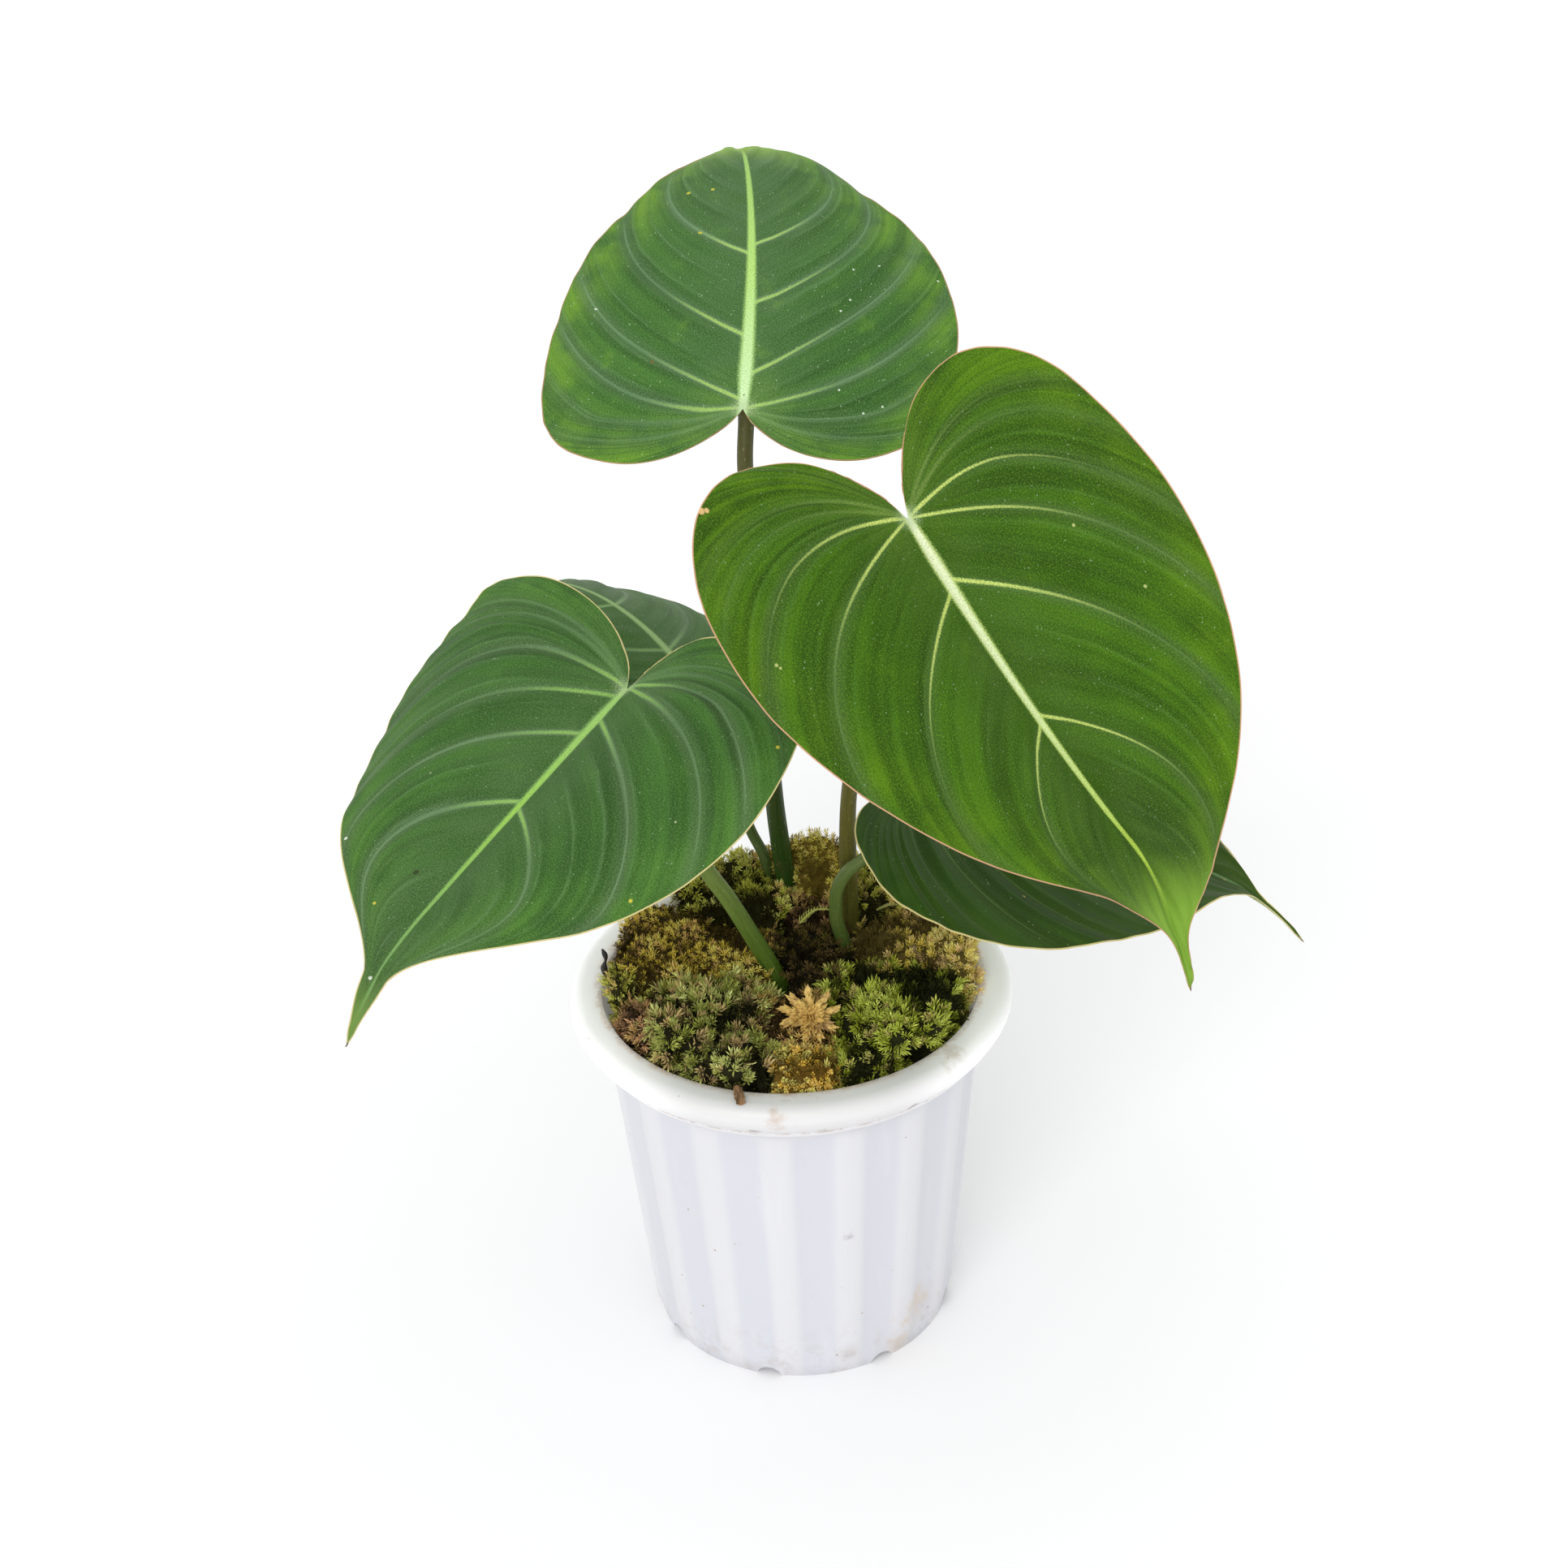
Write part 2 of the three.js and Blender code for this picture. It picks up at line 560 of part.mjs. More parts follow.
/** Route of a leaf's petiole, ended square under the blade, just short of it and inside the sinus. */
function petioleRoute(leaf) {
  const sinus = bladePoint(leaf, 0, 0);
  const attachment = bladePoint(leaf, BLADE.attachShare, 0);
  const forward = attachment.clone().sub(sinus).normalize();
  const leftward = bladePoint(leaf, 0, 1).sub(bladePoint(leaf, 0, -1)).normalize();
  const upward = forward.clone().cross(leftward).normalize();
  const topRadius = leaf.stalk.at(-1);
  const dip = Math.max(0, Math.sin(-leaf.fold * DEGREE)) * topRadius;
  const end = attachment.addScaledVector(upward, -(BLADE.thickness / 2 + 1.5 * GAP + dip));
  const neck = end.clone().addScaledVector(upward, -BLADE.neck);
  return [...leaf.route, neck.toArray(), end.toArray()];
}

function petioleSolid(leaf, extraRadius = 0) {
  const radii = leaf.stalk.map((radius) => radius + extraRadius);
  return toManifold(stalk(petioleRoute(leaf), radii, PETIOLE_MESH.sides, PETIOLE_MESH.steps));
}

/** A petiole saddles the creeping stem: what would reach into the stem is cut away with a gap. */
function petioleGeometry(leaf, stemClearance) {
  return fromManifold(petioleSolid(leaf).subtract(stemClearance));
}

// ---------------------------------------------------------------- moss

/** Reach of a cushion in a direction: to its neighbours' borders, the pot's wall or its own limit. */
function cushionReach(cushion, azimuth) {
  const direction = new THREE.Vector2(Math.cos(azimuth), Math.sin(azimuth));
  const edgeRadius = POT.neckRadius - POT.wall - GAP;
  const outward = cushion.x * direction.x + cushion.y * direction.y;
  const toWall = Math.sqrt(outward ** 2 + edgeRadius ** 2 - cushion.x ** 2 - cushion.y ** 2) - outward;
  let reach = Math.min(cushion.radius * CUSHION.reach, toWall);
  for (const other of CUSHIONS) {
    const apart = new THREE.Vector2(other.x - cushion.x, other.y - cushion.y);
    const distance = apart.length();
    const towards = distance > 0 ? apart.dot(direction) / distance : 0;
    if (towards > 0) {
      const share = distance ** 2 + cushion.radius ** 2 - other.radius ** 2;
      reach = Math.min(reach, (share / (2 * distance) - CUSHION.clearance / 2) / towards);
    }
  }
  return reach;
}

/** A domed cushion with a flat underside on the mix, cut clear of every petiole. */
function cushionSolid(cushion) {
  const foot = MIX.top + GAP;
  const rise = cushion.crest - foot;
  const shoulders = CUSHION.shoulders.map(([reach, height]) => [reach, foot + rise * height]);
  const profile = [[0, foot], [1, foot], ...shoulders, [0, cushion.crest]];
  const [turnX, turnY] = CUSHION.lumpTurn;
  const dome = moveEachPoint(turned(profile, CUSHION.sides), (point) => {
    const reach = cushionReach(cushion, Math.atan2(point.y, point.x));
    point.x = cushion.x + point.x * reach;
    point.y = cushion.y + point.y * reach;
    if (point.z > foot + 1) {
      point.z += CUSHION.lump * Math.sin(point.x * turnX) * Math.cos(point.y * turnY);
    }
  });
  return LEAVES.reduce(
    (solid, leaf) => solid.subtract(petioleSolid(leaf, CUSHION.petioleClearance)),
    toManifold(dome),
  );
}

// ---------------------------------------------------------------- finishes and assembly

const finish = (color, roughness) => new THREE.MeshStandardMaterial({ color, roughness, metalness: 0 });
const FINISHES = {
  pot: finish(0xf1f3f6, 0.38),
  mix: finish(0x2b1d12, 0.95),
  rhizome: finish(0x6c6a35, 0.7),
  blade: finish(0x2f6d24, 0.55),
  petiole: finish(0x4c6b2c, 0.5),
  moss: finish(0x77782c, 0.95),
  sprig: finish(0x6f8440, 0.9),
  dry: finish(0x9a7a4c, 0.9),
  root: finish(0x141210, 0.6),
};

const plant = new THREE.Group();

function addPiece(name, geometry, material) {
  const piece = new THREE.Mesh(closed(geometry), material);
  piece.name = name;
  plant.add(piece);
}

const stemRadii = rhizomeRadii();
const creepingStem = stalk(RHIZOME.route, stemRadii, RHIZOME.sides, RHIZOME.steps);
const clearRadii = stemRadii.map((radius) => radius + GAP);
const stemClearance = toManifold(stalk(RHIZOME.route, clearRadii, RHIZOME.sides, RHIZOME.steps));

addPiece("pot", potGeometry(), FINISHES.pot);
addPiece("potting_mix", mixGeometry(), FINISHES.mix);
addPiece("creeping_stem", creepingStem, FINISHES.rhizome);
for (const leaf of LEAVES) {
  addPiece(`petiole_${leaf.name}`, petioleGeometry(leaf, stemClearance), FINISHES.petiole);
  addPiece(`blade_${leaf.name}`, thicken(bladeSurface(leaf), BLADE.thickness), FINISHES.blade);
}
for (const cushion of CUSHIONS) {
  addPiece(cushion.name, fromManifold(cushionSolid(cushion)), FINISHES.moss);
}
for (const sprig of SPRIGS) {
  const material = sprig.name === "black_root_tip" ? FINISHES.root : FINISHES.sprig;
  addPiece(sprig.name, stalk(sprig.route, sprig.radii, SPRIG_MESH.sides, SPRIG_MESH.steps), material);
}
const husk = new THREE.SphereGeometry(1, 8, 6).scale(...HUSK.radii).rotateZ(HUSK.turn);
addPiece(HUSK.name, husk.translate(...HUSK.centre), FINISHES.dry);
const flake = new THREE.BoxGeometry(...FLAKE.size).rotateZ(FLAKE.turn);
addPiece(FLAKE.name, flake.translate(...FLAKE.centre), FINISHES.dry);

export default plant;
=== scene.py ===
"""Looks of a potted creeping aroid: five velvet leaves above a mossy bed in a white ribbed nursery pot.

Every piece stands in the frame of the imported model, in metres: +Z is up along the pot's axis and -Y is
the front.
"""

from __future__ import annotations

import logging
import math
from contextlib import contextmanager
from dataclasses import dataclass, field
from enum import Enum
from typing import Callable, Iterator, Sequence

import bpy
import numpy as np
from mathutils import Matrix, Vector

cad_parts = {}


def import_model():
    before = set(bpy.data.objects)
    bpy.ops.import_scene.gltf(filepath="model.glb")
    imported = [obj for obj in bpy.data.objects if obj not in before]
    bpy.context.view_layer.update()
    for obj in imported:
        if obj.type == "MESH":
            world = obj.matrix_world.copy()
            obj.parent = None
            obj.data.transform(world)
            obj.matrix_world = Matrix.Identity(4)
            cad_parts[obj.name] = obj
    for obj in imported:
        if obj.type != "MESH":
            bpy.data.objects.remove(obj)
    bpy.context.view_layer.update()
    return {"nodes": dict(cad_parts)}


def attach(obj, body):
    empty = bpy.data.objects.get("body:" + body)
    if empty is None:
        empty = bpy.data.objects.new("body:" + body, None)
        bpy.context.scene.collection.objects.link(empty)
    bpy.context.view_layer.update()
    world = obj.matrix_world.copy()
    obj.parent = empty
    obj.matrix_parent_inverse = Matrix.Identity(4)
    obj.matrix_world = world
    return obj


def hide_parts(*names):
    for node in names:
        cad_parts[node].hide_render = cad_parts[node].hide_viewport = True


LOG = logging.getLogger("potted_aroid")
MM = 0.001
FULL_TURN = 2 * math.pi
FINE_VEINS = 29
BODY = "root"

Colour = tuple[float, float, float]
Point = tuple[float, float, float]
Array = np.ndarray
Piece = bpy.types.Object
Material = bpy.types.Material


# ---- modelling helpers


def rest_tools() -> None:
    """Leave edit mode and deselect every object."""
    if bpy.context.object is not None and bpy.context.object.mode != "OBJECT":
        bpy.ops.object.mode_set(mode="OBJECT")
    bpy.ops.object.select_all(action="DESELECT")


def choose(*pieces: Piece) -> None:
    """Select only the given objects and make the first one active.

    Args:
        *pieces: The objects.
    """
    rest_tools()
    for piece in pieces:
        piece.select_set(True)
    bpy.context.view_layer.objects.active = pieces[0]


def read(items: bpy.types.bpy_prop_collection, key: str, width: int = 1, kind: type = float) -> Array:
    """Read one property of all items of a collection.

    Args:
        items: Vertices, faces, face corners or the data of an attribute.
        key: Name of the property.
        width: Numbers in each value.
        kind: Type of the numbers.

    Returns:
        One number, or one row of numbers, for each item.
    """
    flat = np.zeros(width * len(items), dtype=kind)
    items.foreach_get(key, flat)
    return flat if width == 1 else flat.reshape(-1, width)


def points_of(piece: Piece) -> Array:
    """Return the vertices of a mesh object as rows of x, y and z."""
    return read(piece.data.vertices, "co", 3)


def move_points(piece: Piece, points: Array) -> None:
    """Give a mesh object new vertex places."""
    piece.data.vertices.foreach_set("co", np.asarray(points, dtype=np.float32).ravel())
    piece.data.update()


@contextmanager
def editing(piece: Piece, chosen: Array | bool = True, kind: str = "VERT") -> Iterator[None]:
    """Open edit mode with only some vertices or edges selected, and close it at the end.

    Args:
        piece: The mesh object to edit.
        chosen: One truth value for each vertex or edge, or one for all.
        kind: VERT or EDGE.

    Yields:
        Nothing, while edit mode is open.
    """
    choose(piece)
    mesh = piece.data
    parts = {"VERT": mesh.vertices, "EDGE": mesh.edges, "FACE": mesh.polygons}
    for name, items in parts.items():
        marks = np.full(len(items), chosen if name == kind else False, dtype=bool)
        items.foreach_set("select", marks)
    bpy.context.tool_settings.mesh_select_mode = tuple(name == kind for name in parts)
    bpy.ops.object.mode_set(mode="EDIT")
    bpy.ops.mesh.select_mode(type=kind)
    yield
    bpy.ops.object.mode_set(mode="OBJECT")


def finish_modifier(piece: Piece, kind: str, **settings: object) -> None:
    """Add one modifier with its settings and apply it.

    Args:
        piece: The object that the modifier shapes.
        kind: Blender's name of the modifier type.
        **settings: Values of the modifier's properties.
    """
    choose(piece)
    modifier = piece.modifiers.new(kind.title(), kind)
    for name, value in settings.items():
        setattr(modifier, name, value)
    bpy.ops.object.modifier_apply(modifier=modifier.name)


def merge_and_face_out(piece: Piece, distance: float = 1e-6) -> None:
    """Merge doubled vertices and turn every face outwards.

    Args:
        piece: The mesh object.
        distance: Vertices nearer than this merge, in metres.
    """
    with editing(piece):
        bpy.ops.mesh.remove_doubles(threshold=distance)
        bpy.ops.mesh.normals_make_consistent(inside=False)


def smooth_by_angle(piece: Piece, degrees: float = 35) -> None:
    """Shade a piece smooth, with edges sharper than an angle kept crisp."""
    choose(piece)
    bpy.ops.object.shade_smooth_by_angle(angle=math.radians(degrees))


def settle(piece: Piece, name: str) -> Piece:
    """Name a piece and move its place, turn and scale into its mesh.

    Args:
        piece: The mesh object.
        name: Its new name.

    Returns:
        The same object.
    """
    choose(piece)
    bpy.ops.object.transform_apply(location=True, rotation=True, scale=True)
    piece.name = piece.data.name = name
    return piece


def dress(piece: Piece, *materials: Material) -> None:
    """Give a piece its materials.

    Args:
        piece: The mesh object.
        *materials: Materials in the order of the faces' material numbers.
    """
    piece.data.materials.clear()
    for material in materials:
        piece.data.materials.append(material)


def join(pieces: Sequence[Piece]) -> Piece:
    """Join several objects into the first one.

    Args:
        pieces: The objects.

    Returns:
        The first object, which now holds all.
    """
    choose(*pieces)
    bpy.ops.object.join()
    return pieces[0]


def store(piece: Piece, name: str, values: Array, domain: str = "POINT") -> None:
    """Store numbers or vectors on the points or face corners of a mesh, for its material to read.

    Args:
        piece: The mesh object.
        name: Name of the attribute.
        values: One number, or one row of three, for each element.
        domain: POINT or CORNER.
    """
    kind, key = ("FLOAT", "value") if values.ndim == 1 else ("FLOAT_VECTOR", "vector")
    layer = piece.data.attributes.new(name, kind, domain)
    layer.data.foreach_set(key, np.asarray(values, dtype=np.float32).ravel())


def turned(name: str, profile: Sequence[tuple[float, float]], columns: int) -> Piece:
    """Extrude a disc ring by ring along a profile and close it, as on a potter's wheel.

    Args:
        name: Name of the new object.
        profile: Radius and height of each ring, from the middle underneath to the middle on top.
        columns: Vertices of each ring.

    Returns:
        The closed mesh object.
    """
    rest_tools()
    radius, height = profile[0]
    bpy.ops.mesh.primitive_circle_add(
        vertices=columns, radius=radius, fill_type="TRIFAN", location=(0, 0, height)
    )
    piece = settle(bpy.context.object, name)
    points = points_of(piece)
    with editing(piece, np.hypot(points[:, 0], points[:, 1]) > radius / 2):
        for next_radius, next_height in profile[1:]:
            rise, scale = next_height - height, next_radius / radius
            bpy.ops.mesh.extrude_region_move(TRANSFORM_OT_translate={"value": (0, 0, rise)})
            bpy.ops.transform.resize(value=(scale, scale, 1), center_override=(0, 0, next_height))
            radius, height = next_radius, next_height
        bpy.ops.mesh.edge_face_add()
        bpy.ops.mesh.poke()
    merge_and_face_out(piece)
    return piece


def ease(values: Array | float) -> Array:
    """Return the smooth step of values, 0 up to 0 and 1 from 1."""
    inside = np.clip(values, 0, 1)
    return inside * inside * (3 - 2 * inside)


def hill(distance: Array, width: float) -> Array:
    """Return a bell curve: 1 at no distance, falling away past a width."""
    return np.exp(-((distance / width) ** 2))


def unit(vectors: Array) -> Array:
    """Return rows of vectors at length one."""
    return vectors / np.maximum(np.linalg.norm(vectors, axis=-1, keepdims=True), 1e-12)


def route_points(route: Sequence[Point], count: int) -> Array:
    """Return points at even distances along a centripetal Catmull-Rom curve.

    Args:
        route: Places that the curve passes through, in millimetres.
        count: How many points to return.

    Returns:
        Rows of x, y and z in metres.
    """
    places = np.array(route, dtype=float) * MM
    first, last = 2 * places[0] - places[1], 2 * places[-1] - places[-2]
    knots = np.vstack([first, places, last])
    dense = []
    for a, b, c, d in zip(knots, knots[1:], knots[2:], knots[3:]):
        t0, t1, t2, t3 = np.cumsum([0] + [math.sqrt(np.linalg.norm(step)) for step in (b - a, c - b, d - c)])
        for t in np.linspace(t1, t2, 24, endpoint=False):
            ab = a * (t1 - t) / (t1 - t0) + b * (t - t0) / (t1 - t0)
            bc = b * (t2 - t) / (t2 - t1) + c * (t - t1) / (t2 - t1)
            cd = c * (t3 - t) / (t3 - t2) + d * (t - t2) / (t3 - t2)
            abc = ab * (t2 - t) / (t2 - t0) + bc * (t - t0) / (t2 - t0)
            bcd = bc * (t3 - t) / (t3 - t1) + cd * (t - t1) / (t3 - t1)
            dense.append(abc * (t2 - t) / (t2 - t1) + bcd * (t - t1) / (t2 - t1))
    curve = np.array([*dense, places[-1]])
    run = np.concatenate([[0], np.cumsum(np.linalg.norm(np.diff(curve, axis=0), axis=1))])
    even = np.linspace(0, run[-1], count)
    return np.stack([np.interp(even, run, curve[:, axis]) for axis in range(3)], axis=1)


# ---- shader bench


def math_method(operation: str, swapped: bool = False) -> Callable[..., "Wire"]:
    """Return a method of Wire that adds one Math node.

    Args:
        operation: Blender's name of the operation.
        swapped: Whether the wire itself is the last value.

    Returns:
        The method.
    """
    def method(wire: "Wire", *others: "Wire | float") -> "Wire":
        """Return the result for the wire and the other values."""
        values = (*others, wire) if swapped else (wire, *others)
        return wire.bench.math(operation, *values)

    return method


class Wire:
    """One output socket, on which Python's operators add Math nodes."""

    __add__ = __radd__ = math_method("ADD")
    __sub__ = math_method("SUBTRACT")
    __rsub__ = math_method("SUBTRACT", swapped=True)
    __mul__ = __rmul__ = math_method("MULTIPLY")
    __truediv__ = math_method("DIVIDE")
    __pow__ = math_method("POWER")
    __abs__ = math_method("ABSOLUTE")
    cos = math_method("COSINE")
    largest = math_method("MAXIMUM")
    smallest = math_method("MINIMUM")

    def __init__(self, bench: "Bench", socket: bpy.types.NodeSocket) -> None:
        """Keep the bench that holds the node tree and the socket."""
        self.bench = bench
        self.socket = socket

    def rise(self, start: float, end: float) -> "Wire":
        """Return a smooth step from 0 to 1.

        Args:
            start: Value at which the step is 0.
            end: Value at which the step is 1; it may lie below the start.

        Returns:
            The step.
        """
        low, high = min(start, end), max(start, end)
        inputs = {"Value": self, "From Min": low, "From Max": high}
        inputs.update({"To Min": float(start >= end), "To Max": float(start < end)})
        return self.bench.wire("ShaderNodeMapRange", "Result", inputs, interpolation_type="SMOOTHSTEP")


class Bench:
    """The node tree of one new material, with methods that add its nodes."""

    def __init__(self, name: str) -> None:
        """Make an empty material.

        Args:
            name: Name of the material.
        """
        self.material = bpy.data.materials.new(name)
        self.material.use_nodes = True
        self.tree = self.material.node_tree
        self.tree.nodes.clear()

    def node(self, kind: str, inputs: dict[str | int, object], **settings: object) -> bpy.types.Node:
        """Add one node.

        Args:
            kind: Blender's name of the node type.
            inputs: Values or wires for the node's sockets, by name or number.
            **settings: Properties, which are set first.

        Returns:
            The new node.
        """
        node = self.tree.nodes.new(kind)
        for name, value in settings.items():
            setattr(node, name, value)
        for key, value in inputs.items():
            socket = node.inputs[key]
            if isinstance(value, Wire):
                self.tree.links.new(value.socket, socket)
            elif socket.type == "RGBA" and len(value) == 3:
                socket.default_value = (*value, 1.0)
            else:
                socket.default_value = value
        return node

    def wire(self, kind: str, output: str | int, inputs: dict[str | int, object], **settings: object) -> Wire:
        """Add one node and return one of its outputs."""
        return Wire(self, self.node(kind, inputs, **settings).outputs[output])

    def math(self, operation: str, *values: "Wire | float") -> Wire:
        """Return the result of one Math node."""
        return self.wire("ShaderNodeMath", 0, dict(enumerate(values)), operation=operation)

    def number(self, name: str) -> Wire:
        """Return a number that is stored on the mesh."""
        return self.wire("ShaderNodeAttribute", "Fac", {}, attribute_name=name)

    def vector(self, name: str) -> Wire:
        """Return a vector that is stored on the mesh."""
        return self.wire("ShaderNodeAttribute", "Vector", {}, attribute_name=name)

    def place(self) -> Wire:
        """Return the place on the piece, in metres."""
        return self.wire("ShaderNodeTexCoord", "Object", {})

    def distance(self, vector: Wire, centre: Point) -> Wire:
        """Return the distance of a vector from a centre given in millimetres."""
        inputs = {0: vector, 1: tuple(value * MM for value in centre)}
        return self.wire("ShaderNodeVectorMath", "Value", inputs, operation="DISTANCE")

    def parts(self, vector: Wire) -> tuple[Wire, Wire, Wire]:
        """Return the x, y and z of a vector."""
        node = self.node("ShaderNodeSeparateXYZ", {"Vector": vector})
        return tuple(Wire(self, socket) for socket in node.outputs)

    def scaled(self, vector: Wire, scale: Point) -> Wire:
        """Return a vector whose x, y and z are scaled by a Mapping node."""
        return self.wire("ShaderNodeMapping", "Vector", {"Vector": vector, "Scale": scale})

    def noise(self, vector: Wire, grain: float, detail: float = 2, rough: float = 0.5) -> Wire:
        """Return noise around 0.5, of a lump size in metres, octaves of finer noise and their strength."""
        inputs = {"Vector": vector, "Scale": 1 / grain, "Detail": detail, "Roughness": rough}
        return self.wire("ShaderNodeTexNoise", "Fac", inputs)

    def cells(self, vector: Wire, grain: float) -> Wire:
        """Return the distance to the nearest centre of a cell pattern, in cells of a size in metres."""
        return self.wire("ShaderNodeTexVoronoi", "Distance", {"Vector": vector, "Scale": 1 / grain})

    def ramp(self, factor: Wire, stops: Sequence[tuple[float, Colour]]) -> Wire:
        """Return a colour from a ramp.

        Args:
            factor: Place on the ramp, from 0 to 1.
            stops: Place and colour of each stop, in rising order.

        Returns:
            The colour.
        """
        node = self.node("ShaderNodeValToRGB", {"Fac": factor})
        elements = node.color_ramp.elements
        for place, _ in stops[2:]:
            elements.new(place)
        for element, (place, colour) in zip(elements, stops):
            element.position = place
            element.color = (*colour, 1.0)
        return Wire(self, node.outputs["Color"])

    def blend(self, share: "Wire | float", first: object, second: object) -> Wire:
        """Return one colour with a second one mixed in by a share from 0 to 1."""
        inputs = {0: share, 6: first, 7: second}
        return self.wire("ShaderNodeMix", 2, inputs, data_type="RGBA", clamp_factor=True)

    def coats(self, ground: object, *coats: tuple["Wire | float", object]) -> Wire:
        """Lay coats of colour over a ground.

        Args:
            ground: Colour or wire underneath.
            *coats: Share from 0 to 1 and colour of each coat.

        Returns:
            The colour on top.
        """
        for share, colour in coats:
            ground = self.blend(share, ground, colour)
        return ground

    def bump(self, height: Wire, depth: float, strength: float = 1.0) -> Wire:
        """Return a normal tilted by a pattern of a depth in metres, at a strength."""
        inputs = {"Height": height, "Distance": depth, "Strength": strength}
        return self.wire("ShaderNodeBump", "Normal", inputs)

    def surface(self, **sockets: object) -> Material:
        """Close the material with a Principled shader.

        Args:
            **sockets: Values or wires, by socket name with underscores for spaces.

        Returns:
            The finished material.
        """
        inputs = {name.replace("_", " "): value for name, value in sockets.items()}
        shader = self.node("ShaderNodeBsdfPrincipled", inputs)
        output = self.node("ShaderNodeOutputMaterial", {})
        self.tree.links.new(shader.outputs["BSDF"], output.inputs["Surface"])
        return self.material


# ---- finishes


@dataclass(frozen=True)
class Spot:
    """One blemish on a blade, at a distance along the midrib and across it, in millimetres."""

    along: float
    across: float
    radius: float
    colour: Colour


def spots(colour: Colour, *places: Point) -> tuple[Spot, ...]:
    """Return blemishes of one colour from rows of distance along, distance across and radius."""
    return tuple(Spot(*place, colour) for place in places)


